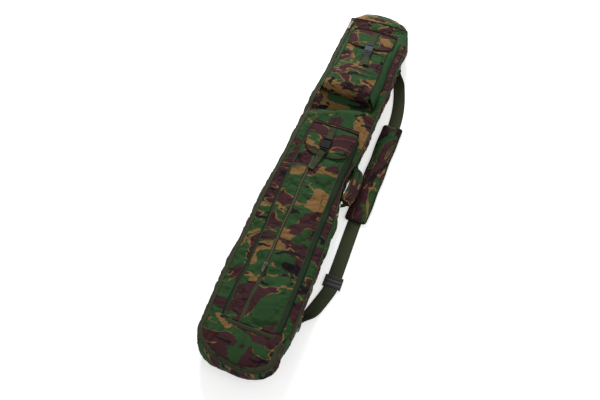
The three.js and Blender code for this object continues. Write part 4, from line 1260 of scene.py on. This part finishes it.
def pocket_chain():
    low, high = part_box("pocket_zip_chain")
    s = np.linspace(LOW_SEAM_Y - high.y, LOW_SEAM_Y - low.y, 300)
    path = LOWER.point((ZIP_LEFT + ZIP_RIGHT) / 2, s, 0.0006)
    coil_zip("pocket_zip_chain", path, np.tile([1.0, 0, 0], (300, 1)), 0.0021, POCKET_COIL)


pocket_chain()
LOWER_SEAMS = ((0.0014, 0.0003, OLIVE_TAPE), (0.0012, 0.0003))
# The lower gussets take the darker copy of the green cloth as painted shade.
pocket_gusset("lower", "left", 0.012, 0.012, (-0.002, 0.002), 0.0008, 0.001, 77, SHADED_GREEN_CLOTH, *LOWER_SEAMS)
pocket_gusset("lower", "right", 0.012, 0.012, (-0.002, -0.005), 0.0008, 0.001, 79, SHADED_GREEN_CLOTH, *LOWER_SEAMS)
binding_x = np.linspace(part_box("lower_pocket_binding")[0].x - 0.006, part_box("lower_pocket_binding")[1].x, 60)
binding = smooth_path(LOWER.point(binding_x, LOWER.length - 0.001, 0.001) + np.array([0, -0.003, 0]), 0.004)
fit(ribbon("lower_pocket_binding_tape", binding, (0, 0.94, 0.34), 0.011, 0.0022, OLIVE_TAPE, 8.0),
    "root", "lower_pocket_binding")
seam_ramp("lower", 0.004, 0.002, 0.020, 8.7)
low_at, low_top = flap("lower", 0.046, 9.2)
welt("lower_flap_top_welt", low_top, 0.0022, body="lower_flap")

# Webbing on the flaps, and the loose tails
WEB_X = {prefix: middle(prefix + "_flap_webbing", X) for prefix in FACES}
WEB_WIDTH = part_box("upper_flap_webbing")[1].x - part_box("upper_flap_webbing")[0].x


def flap_webbing(prefix, at, start):
    """The strip that holds the buckle's socket, sewn down with a crossed square."""
    body, node = prefix + "_flap", prefix + "_flap_webbing"
    name, x = node + "_tape", WEB_X[prefix]
    s = np.linspace(start, SEAM_Y[prefix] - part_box(prefix + "_buckle_socket")[1].y + 0.004, 40)
    path = at(np.full_like(s, x), s, 0.0012)
    path[:, Z] += 0.0018 * ease(s, s[-1] - 0.018, s[-1])
    fit(ribbon(name, path, (1, 0, 0), WEB_WIDTH, 0.0016, OLIVE_TAPE, 10.0), body, node)
    box_s = start + np.array([0.003, 0.003, 0.017, 0.017, 0.003])
    box_x = x + WEB_WIDTH * 0.36 * np.array([-1, 1, 1, -1, -1])
    square = resample(at(box_x, box_s, 0.0024), 0.002)
    thread = {"pitch": 0.0036, "length": 0.0027, "radius": 0.0004}
    stitches(name + "_stitches", square, body, **thread)
    for label, ends in (("a", [0, 2]), ("b", [1, 3])):
        stitches(name + "_cross_" + label, at(box_x[ends], box_s[ends], 0.0024), body, **thread)


def tail(prefix, turn, seed):
    """The loose end of webbing below a buckle, drooping onto its pocket."""
    node = prefix + "_buckle_tail"
    low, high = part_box(node)
    start = np.array([WEB_X[prefix], high.y - 0.006, high.z - 0.0012])
    direction = np.array([math.sin(turn), -math.cos(turn), 0.0])
    u = np.linspace(0, 1, 40)
    path = start + direction * (u * ((high.y - low.y) / math.cos(turn) - 0.003))[:, None]
    clear = 0.0040 + 0.0040 * u if prefix == "upper" else 0.0028
    rest = FACES[prefix].point(path[:, 0], SEAM_Y[prefix] - path[:, 1], clear)[:, 2]
    path[:, Z] = start[Z] + (rest - start[Z]) * ease(u, 0, 0.42)
    path[:, Z] += 0.0022 * np.sin(u * 5.2) * ease(u, 0.4, 0.8) + 0.004 * ease(u, 0.82, 1.0)
    roll = 0.25 * np.sin(u * 3.0)[:, None]
    across = np.cross((0, 0, 1.0), direction) * np.cos(roll) + np.array([0, 0, 1.0]) * np.sin(roll) * 0.4
    tape = ribbon(prefix + "_tail_tape", path, across, WEB_WIDTH, 0.0015, OLIVE_TAPE, seed)
    fit(tape, prefix + "_buckle", node)


flap_webbing("upper", up_at, 0.010)
flap_webbing("lower", low_at, 0.006)
tail("upper", math.radians(13), 12.0)
tail("lower", math.radians(-14), 12.6)


def anchor_webbing():
    low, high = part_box("upper_anchor_webbing")
    path = UPPER.point(WEB_X["upper"], np.linspace(UP_SEAM_Y - high.y, UP_SEAM_Y - low.y, 30), 0.0014)
    fit(ribbon("upper_anchor_tape", path, (1, 0, 0), WEB_WIDTH, 0.0015, OLIVE_TAPE, 13.0),
        "root", "upper_anchor_webbing")


anchor_webbing()


# Hard parts: the CAD solids with softened edges and a finish
def carry(node, material, edge):
    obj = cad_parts[node]
    obj.data.materials.clear()
    obj.data.materials.append(material)
    mesh = obj.data
    if "cloth" not in mesh.attributes:
        places = np.array([v.co for v in mesh.vertices], np.float32)
        mesh.attributes.new("cloth", "FLOAT_VECTOR", "POINT").data.foreach_set("vector", places.ravel())
    weld = obj.modifiers.new("weld", "WELD")
    weld.merge_threshold = 0.00002
    soft = obj.modifiers.new("edges", "BEVEL")
    soft.width = edge
    soft.segments = 3
    soft.limit_method = "ANGLE"
    soft.angle_limit = math.radians(35)
    soft.use_clamp_overlap = True
    mesh.polygons.foreach_set("use_smooth", [True] * len(mesh.polygons))
    flat = obj.modifiers.new("normals", "WEIGHTED_NORMAL")
    flat.keep_sharp = True


# The lower buckle gets the near-black plastic, darker than the upper one: painted shade, as it lies half in
# shadow.
for prefix, plastic in (("upper", BUCKLE), ("lower", BUCKLE_DARK)):
    carry(prefix + "_buckle_socket", plastic, 0.0009)
    carry(prefix + "_buckle_prong", plastic, 0.0007)
    carry(prefix + "_buckle_latch_left", BUCKLE_DARK, 0.0005)
    carry(prefix + "_buckle_latch_right", BUCKLE_DARK, 0.0005)
for node in ("main_zip_slider", "main_zip_pull", "pocket_zip_slider", "pocket_zip_pull"):
    carry(node, ZIP_METAL, 0.0003)
carry("strap_adjuster", BLACK, 0.0012)


# Shoulder strap
STRAP_WIDTH = 0.038
STRAP_THICK = 0.0019
STRAP_REST_Z = 0.0024  # middle of the webbing where it lies on the floor
STRAP_RING_Z = 0.0200  # and where it meets a ring
STRAP_TURN = 0.055  # length over which it turns from a ring onto the floor
STRAP_TILT = math.radians(66)  # how steeply it leaves a ring
STRAP_GATHER = 0.62  # share of its width that goes through a ring
STRAP_SWEEP_UP = 2.0  # how quickly it curves away from each ring
STRAP_SWEEP_LOW = 1.15
RING_TOP_Z = 0.0445
RING_LOW_Z = 0.0185
RING_WIRE = 0.0015
RING_FOOT_GAP = {"upper": 0.010, "lower": 0.006}  # how far a ring's foot lies off the wall
RING_AXIS_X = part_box("upper_strap_ring")[0].x + 0.002  # the bar each ring turns on
RING_Y = {prefix: middle(prefix + "_strap_ring", Y) for prefix in RING_FOOT_GAP}
STRAP_TOP_Y = RING_Y["upper"] - 0.010
STRAP_END_Y = RING_Y["lower"] + 0.010
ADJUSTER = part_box("strap_adjuster")
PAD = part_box("shoulder_pad_binding")
PAD_MID = (PAD[0] + PAD[1]) / 2
PAD_LEAN = 0.0125  # how much further out the pad's upper end lies than its lower end


def gusset_x(y, z):
    """x of the right wall's surface at a height, as the wall is built, before the bag settles."""
    t = np.clip(z / EDGE_HEIGHT, 0, 1)
    out = WALL_BULGE + wall_swell(side_x(y, 1), y)
    inset = SIDE_FOOT * (1 - t) ** 2.2 + ZIP_EDGE * t**3 - out * np.sin(math.pi * t)
    return side_x(y, 1) - inset - tab_dent(y, z)


def on_wall(y, z, lift):
    """A place on the right wall, or lift off it."""
    y, z = np.broadcast_arrays(np.asarray(y, float), np.asarray(z, float))
    return settle(np.stack([gusset_x(y, z), y, z], -1)) + np.array([lift, 0, 0])


RING_FOOT_X = {p: float(on_wall(RING_Y[p], RING_LOW_Z, RING_FOOT_GAP[p])[X]) for p in RING_Y}


def pad_centre(y):
    share = (y - PAD[0].y) / (PAD[1].y - PAD[0].y)
    return PAD_MID.x - 0.0015 + PAD_LEAN * share + 0.0012 * np.sin(share * 5)


def strap_centre(y):
    """Middle of the strap in x: straight through its pad and adjuster, sweeping in to a ring at each end."""
    run = middle("strap_adjuster", X)
    x = np.where(y > PAD[0].y, pad_centre(np.clip(y, PAD[0].y, PAD[1].y)), run)
    x = x + (pad_centre(PAD[0].y) - run) * ease(y, ADJUSTER[1].y, PAD[0].y) * (y <= PAD[0].y)
    above = np.clip((y - PAD[1].y) / (STRAP_TOP_Y - PAD[1].y), 0, 1) ** STRAP_SWEEP_UP
    below = np.clip((ADJUSTER[0].y - y) / (ADJUSTER[0].y - STRAP_END_Y), 0, 1) ** STRAP_SWEEP_LOW
    return x + (RING_FOOT_X["upper"] - x) * above + (RING_FOOT_X["lower"] - x) * below


def strap_piece(name, start_y, lift, shrink, seed, node):
    """Webbing along the strap's line from start_y to the lower ring; returns its path."""
    y = np.linspace(STRAP_TOP_Y, STRAP_END_Y, 460)
    y = y[y <= start_y]
    gone = np.clip(np.minimum(STRAP_TOP_Y - y, y - STRAP_END_Y) / STRAP_TURN, 0, 1)
    z = STRAP_REST_Z + (STRAP_RING_Z - STRAP_REST_Z) * (1 - gone) ** 2
    line = soften(stack(strap_centre(y), y, z), 30)
    roll = STRAP_TILT * (1 - gone) ** 1.3
    across = stack(np.cos(roll), 0, np.sin(roll))
    normal = stack(-np.sin(roll), 0, np.cos(roll))
    path = line + normal * (lift + 0.0005 * noise(line, 0.05, 91))[:, None]
    width = STRAP_WIDTH * (STRAP_GATHER + (1 - STRAP_GATHER) * ease(gone, 0, 0.55)) - shrink
    fit(ribbon(name, path, across, width, STRAP_THICK, OLIVE_TAPE, seed, 10), "shoulder_strap", node)
    return path


def strap_stitches(path):
    """A row along each edge of the strap above its pad."""
    sewn = path[(path[:, Y] < PAD[1].y + 0.155) & (path[:, Y] > PAD[1].y + 0.015)]
    for across, label in ((-0.0165, "inner"), (0.0165, "outer")):
        stitches("strap_edge_stitches_" + label, sewn + np.array([across, 0, 0.0011]), "shoulder_strap")


def adjuster_plate():
    """The adjuster's bars over the webbing, moulded as one plate with two grooves."""
    low, high = ADJUSTER
    x = np.linspace(low.x, high.x, 44)[:, None]
    y = np.linspace(low.y, high.y, 52)[None]
    mid = (low.y + high.y) / 2
    gap = np.minimum(np.minimum(x - low.x, high.x - x), np.minimum(y - low.y, high.y - y))
    grooves = bump(y, mid - 0.0058, 0.0017) + bump(y, mid + 0.0058, 0.0017)
    round_edge = 0.0018 * (1 - np.clip(gap / 0.002, 0, 1)) ** 2
    grid = stack(x, y, high.z + 0.0013 - round_edge - 0.0010 * grooves * ease(gap, 0.002, 0.005))
    fit(sheet("strap_adjuster_plate", grid, 0.0011, BLACK, grid), "strap_adjuster")


strap_path = strap_piece("strap_tape", STRAP_TOP_Y, 0.0, 0.0, 20.0, "strap_webbing")
return_y = middle("strap_adjuster", Y) - 0.014
strap_piece("strap_return_tape", return_y, 0.0024, 0.001, 21.0, "strap_webbing_return")
adjuster_plate()
strap_stitches(strap_path)

# Shoulder pad: two layers of cloth over foam, fuller in the middle, bound round the edge
PAD_HALF_X = (PAD[1].x - PAD[0].x) / 2 - 0.0015
PAD_HALF_Y = (PAD[1].y - PAD[0].y) / 2 - 0.0015
PAD_LOW = 0.0052
PAD_RISE = 0.0088 * 0.92
PAD_CORNER = 0.006


def pad_edge(y):
    """Half of the pad's width: a little waisted, with round corners."""
    drop = np.clip(np.abs(y - PAD_MID.y) - (PAD_HALF_Y - PAD_CORNER), 0, PAD_CORNER)
    waist = -0.0022 * np.cos((y - PAD_MID.y) / PAD_HALF_Y * math.pi * 0.5) + 0.0008 * np.sin(y * 55)
    return PAD_HALF_X + waist - PAD_CORNER + np.sqrt(np.maximum(PAD_CORNER**2 - drop**2, 0))


def pad_surface():
    """Grids of the pad's top, before it fills, and of its underside, and their cloth places."""
    a = np.linspace(0, math.pi / 2, 18)[:-1]
    straight = PAD_HALF_Y - PAD_CORNER
    y = PAD_MID.y + np.concatenate([
        -straight - PAD_CORNER * np.cos(a), np.linspace(-straight, straight, 170),
        straight + PAD_CORNER * np.sin(a[1:]), [PAD_HALF_Y],
    ])
    u = np.sin(np.linspace(-math.pi / 2, math.pi / 2, 49))[None]
    x = pad_centre(y)[:, None] + pad_edge(y)[:, None] * u
    y = y[:, None]
    end = np.clip((PAD_HALF_Y - np.abs(y - PAD_MID.y)) / 0.022, 0, 1)
    full = (1 - np.abs(u) ** 2.6) ** 0.6 * (1 - (1 - end) ** 2) ** 0.5
    quilt = 0.0011 * noise(stack(x, y, 0), (0.03, 0.022, 1), 95)
    top = stack(x, y, PAD_LOW + 0.0022 + (PAD_RISE + quilt) * full)
    top[..., Z] += creases(top, (1, 0.35, 0), (-0.35, 1, 0), 96) * 0.0006 * full
    under = stack(x, y, PAD_LOW + 0.0018 - 0.0020 * full)
    return top, under, stack(y * 0.8 + x * 0.5, x * 1.2 - y * 0.25, 30.7)


def shoulder_pad():
    top, under, cloth = pad_surface()
    rows = np.unique(np.append(np.arange(0, len(top), 3), len(top) - 1))
    coarse = top[rows][:, ::-2]
    fill_later("pad", coarse, held_edges(*coarse.shape[:2]), pressure=3.0, slack=0.05, cap=0.004)
    full = refine(fill_all()["pad"])
    cover = sheet("pad_top_cloth", full, 0.0016, CAMO, refine(cloth[rows][:, ::-2]))
    fit(cover, "shoulder_pad", "shoulder_pad")
    fit(sheet("pad_under_cloth", under, 0.0010, GREEN_CLOTH, cloth), "shoulder_pad")
    edge = np.concatenate([top[:, 0], top[::-1, -1]])
    edge[:, Z] = PAD_LOW + 0.0020
    binding = tube("pad_binding_tape", smooth_path(edge, 0.003, True, 2), 0.0026, EDGE, 10, True)
    fit(binding, "shoulder_pad", "shoulder_pad_binding")
    inside = np.concatenate([full[2:-2, 4], full[2:-2][::-1, -5]]) + np.array([0, 0, 0.0003])
    stitches("pad_stitches", smooth_path(inside, 0.003, True, 1), "shoulder_pad")


def pad_keeper():
    """The loop under the pad that the strap runs through."""
    low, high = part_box("pad_keeper")
    y = middle("pad_keeper", Y)
    shift = pad_centre(y) - PAD_MID.x
    x = np.array([low.x, low.x + 0.006, PAD_MID.x, high.x - 0.006, high.x])
    path = smooth_path(stack(x + shift, y, [0.0036, 0.0009, 0.0007, 0.0009, 0.0036]), 0.002)
    tape = ribbon("pad_keeper_tape", path, (0, 1, 0), high.y - low.y, 0.0009, OLIVE_TAPE, 22.0)
    fit(tape, "shoulder_pad", "pad_keeper")


shoulder_pad()
pad_keeper()

# Tabs, rings and patches on the strap side of the bag
TAB_TURN = 0.0030  # radius of a tab's loop round its ring


def wall_patch(name, node, seed):
    """A sewn square of webbing that lies on the right wall."""
    low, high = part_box(node)
    grid = on_wall(np.linspace(low.y, high.y, 16)[:, None], np.linspace(low.z, high.z, 16)[None], 0.0018)
    cloth = stack(grid[..., Z], grid[..., Y], seed)
    fit(sheet(name, grid, 0.0014, OLIVE_TAPE, cloth), "root", node)
    y0, y1, z0, z1 = low.y + 0.0025, high.y - 0.0025, low.z + 0.0025, high.z - 0.0025
    corners = resample([(y0, z0), (y1, z0), (y1, z1), (y0, z1), (y0, z0)], 0.003)
    stitches(name + "_stitches", on_wall(corners[:, 0], corners[:, 1], 0.0022), "root", (1.0, 0, 0))


def circle(x, y, z, radius, turn):
    return stack(x + radius * np.cos(turn), y, z + radius * np.sin(turn))


def tab_and_ring(prefix):
    """A webbing tab sewn down the wall and looped round its ring, the ring, and the strap's end round it."""
    low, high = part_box(prefix + "_strap_tab")
    mid_y, width, foot_x = (low.y + high.y) / 2, high.y - low.y, RING_FOOT_X[prefix]
    z = np.linspace(high.z - 0.002, 0.050, 16)[:-1]
    bend = circle(RING_AXIS_X, mid_y, RING_TOP_Z, TAB_TURN, np.linspace(0, 1.25 * math.pi, 12))
    path = np.vstack([on_wall(mid_y, z, 0.0022), bend])
    tape = ribbon(prefix + "_tab_tape", path, (0, 1, 0), width, 0.0016, OLIVE_TAPE, 23.0)
    fit(tape, "root", prefix + "_strap_tab")
    half_y = width / 2 + 0.0035
    corners = [(RING_AXIS_X, mid_y + half_y, RING_TOP_Z), (foot_x, mid_y + half_y, RING_LOW_Z),
               (foot_x, mid_y - half_y, RING_LOW_Z), (RING_AXIS_X, mid_y - half_y, RING_TOP_Z)]
    wire = tube(prefix + "_ring_wire", smooth_path(corners, 0.0015, True, 5), RING_WIRE, WIRE, 10, True)
    fit(wire, "shoulder_strap", prefix + "_strap_ring")
    wrap = circle(foot_x, mid_y, RING_LOW_Z, 0.0034, np.linspace(0, 2 * math.pi, 28)[:-1])
    wrap = ribbon(prefix + "_strap_end_wrap", wrap, (0, 1, 0), 0.0215, 0.0016, OLIVE_TAPE, 23.5)
    fit(wrap, "shoulder_strap")


for prefix in RING_Y:
    tab_and_ring(prefix)
wall_patch("strap_patch_tape", "strap_tab_patch", 24.0)
wall_patch("handle_upper_patch_tape", "handle_upper_patch", 25.0)
wall_patch("handle_lower_patch_tape", "handle_lower_patch", 25.0)

# Carry handle: doubled webbing with a padded grip wrapped round it
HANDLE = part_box("carry_handle_webbing")
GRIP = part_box("carry_handle_grip")
HANDLE_MID_Y = middle("carry_handle_webbing", Y)
HANDLE_MID_Z = middle("carry_handle_webbing", Z)
HANDLE_REACH = (HANDLE[1].y - HANDLE[0].y) / 2
GRIP_TUCK = 0.0128  # how far in the limp handle lies from its CAD place
GRIP_LIFT = 0.005
GRIP_ROLL = math.radians(46)
GRIP_THICK = 0.0058
GRIP_ROWS = 71


def handle_path():
    """The handle's middle line: out from the wall, along the grip and back."""
    angle = np.linspace(0, math.pi, 90)
    y = HANDLE_MID_Y + HANDLE_REACH * np.cos(angle)
    ends = on_wall(y[[0, -1]], HANDLE_MID_Z, 0.0030)[:, X]
    end_x = np.where(y > HANDLE_MID_Y, ends[0], ends[1])
    out = np.sin(angle) ** 0.55
    x = end_x + (middle("carry_handle_grip", X) - GRIP_TUCK - end_x) * out
    z = HANDLE_MID_Z + (middle("carry_handle_grip", Z) + GRIP_LIFT - HANDLE_MID_Z) * out
    return smooth_path(stack(x, y, z), 0.002, passes=6)


def handle_webbing(path):
    away = np.abs(path[:, Y] - HANDLE_MID_Y)
    roll = GRIP_ROLL * ease(away, HANDLE_REACH, GRIP[1].y - HANDLE_MID_Y)
    across = stack(-np.sin(roll), 0, np.cos(roll))
    pinch = 1 - 0.35 * (1 - ease(away, HANDLE_REACH, HANDLE_REACH - 0.016))
    width = (HANDLE[1].z - HANDLE[0].z) * pinch
    tape = ribbon("handle_webbing_tape", path, across, width, 0.0024, EDGE, 26.0, 8)
    fit(tape, "carry_handle", "carry_handle_webbing")


def handle_grip(path):
    y = np.linspace(GRIP[1].y, GRIP[0].y, GRIP_ROWS)
    middle_line = read_path(path[::-1], path[::-1, Y], y)
    v = np.linspace(0, 2 * math.pi, 40, endpoint=False)
    ends = 1 - 0.16 * (np.abs(np.linspace(-1, 1, GRIP_ROWS)) ** 8)
    thick = GRIP_THICK * np.sign(np.cos(v)) * np.abs(np.cos(v)) ** 0.8
    wide = (GRIP[1].z - GRIP[0].z) / 2 * np.sin(v)
    across = thick * math.cos(GRIP_ROLL) - wide * math.sin(GRIP_ROLL)
    upward = thick * math.sin(GRIP_ROLL) + wide * math.cos(GRIP_ROLL)
    grid = stack(middle_line[:, None, X] + across[None] * ends[:, None], y[:, None],
                 middle_line[:, None, Z] + upward[None] * ends[:, None])
    coarse = grid[::-2, ::2]
    free = held_edges(*coarse.shape[:2], sides="ud")
    fill_later("grip", coarse, free, pressure=3.0, slack=0.07, cap=0.004, wrap=True)
    grid = refine(fill_all()["grip"][::-1], wrap=True)
    cloth = stack(y[:, None] * 1.3, np.minimum(v, 2 * math.pi - v)[None] * 0.02, 32.0)
    sleeve, sleeve_cloth = np.swapaxes(grid, 0, 1)[::-1], np.swapaxes(cloth, 0, 1)[::-1]
    cover = sheet("handle_grip_cloth", sleeve, 0.0018, CAMO, sleeve_cloth, wrap_u=True)
    fit(cover, "carry_handle", "carry_handle_grip")
    for label, row in (("upper", grid[0]), ("lower", grid[-1])):
        cord = tube("grip_" + label + "_binding", smooth_path(row, 0.003, True, 1), 0.0017, EDGE, closed=True)
        fit(cord, "carry_handle")


handle_line = handle_path()
handle_webbing(handle_line)
handle_grip(handle_line)


# Stage
FLOOR_REACH = 90.0
FLOOR_Z = -0.0004
SKY_AS_LIGHT, SKY_AS_BACKDROP = 0.42, 1.0


def pale_floor():
    mesh = bpy.data.meshes.new("floor")
    r = FLOOR_REACH
    mesh.from_pydata([(-r, -r, 0), (r, -r, 0), (r, r, 0), (-r, r, 0)], [], [(0, 1, 2, 3)])
    paper = Nodes("pale_floor")
    mesh.materials.append(paper.finish(rgb(0.90, 0.90, 0.90), 0.9))
    paper.shader.inputs["Emission Color"].default_value = rgb(1, 1, 1)
    paper.shader.inputs["Emission Strength"].default_value = 0.5
    obj = bpy.data.objects.new("floor", mesh)
    obj.location.z = FLOOR_Z
    return obj


def soft_sky():
    """A white world that shines less than it shows."""
    world = bpy.data.worlds.new("studio")
    world.use_nodes = True
    sky = world.node_tree
    seen = sky.nodes.new("ShaderNodeLightPath")
    strength = sky.nodes.new("ShaderNodeMapRange")
    strength.inputs["To Min"].default_value = SKY_AS_LIGHT
    strength.inputs["To Max"].default_value = SKY_AS_BACKDROP
    sky.links.new(seen.outputs["Is Camera Ray"], strength.inputs["Value"])
    sky.nodes["Background"].inputs[0].default_value = rgb(1.0, 1.0, 1.0)
    sky.links.new(strength.outputs[0], sky.nodes["Background"].inputs[1])
    return world


def lamp(name, place, size, power):
    """A soft rectangular lamp that points at the bag."""
    light = bpy.data.lights.new(name, "AREA")
    light.shape = "RECTANGLE"
    light.size, light.size_y = size
    light.energy = power
    obj = bpy.data.objects.new(name, light)
    obj.location = place
    obj.rotation_euler = (Vector((0, 0, 0.05)) - Vector(place)).to_track_quat("-Z", "Y").to_euler()
    return obj


def photo_camera():
    data = bpy.data.cameras.new("camera")
    data.lens = 35
    data.sensor_width = 36
    obj = bpy.data.objects.new("camera", data)
    obj.location = (0.300, -0.976, 1.401)
    obj.rotation_euler = (math.radians(33), 0, math.radians(20.3))
    return obj


scene = bpy.context.scene
floor = pale_floor()
lights = [lamp("key", (-0.9, 2.1, 1.9), (1.2, 0.8), 88), lamp("fill", (1.6, -0.9, 2.2), (1.8, 1.8), 14)]
camera = photo_camera()
for obj in (floor, *lights, camera):
    scene.collection.objects.link(obj)
scene.world = soft_sky()
scene.camera = camera
scene.view_settings.view_transform = "Standard"

bpy.context.view_layer.update()
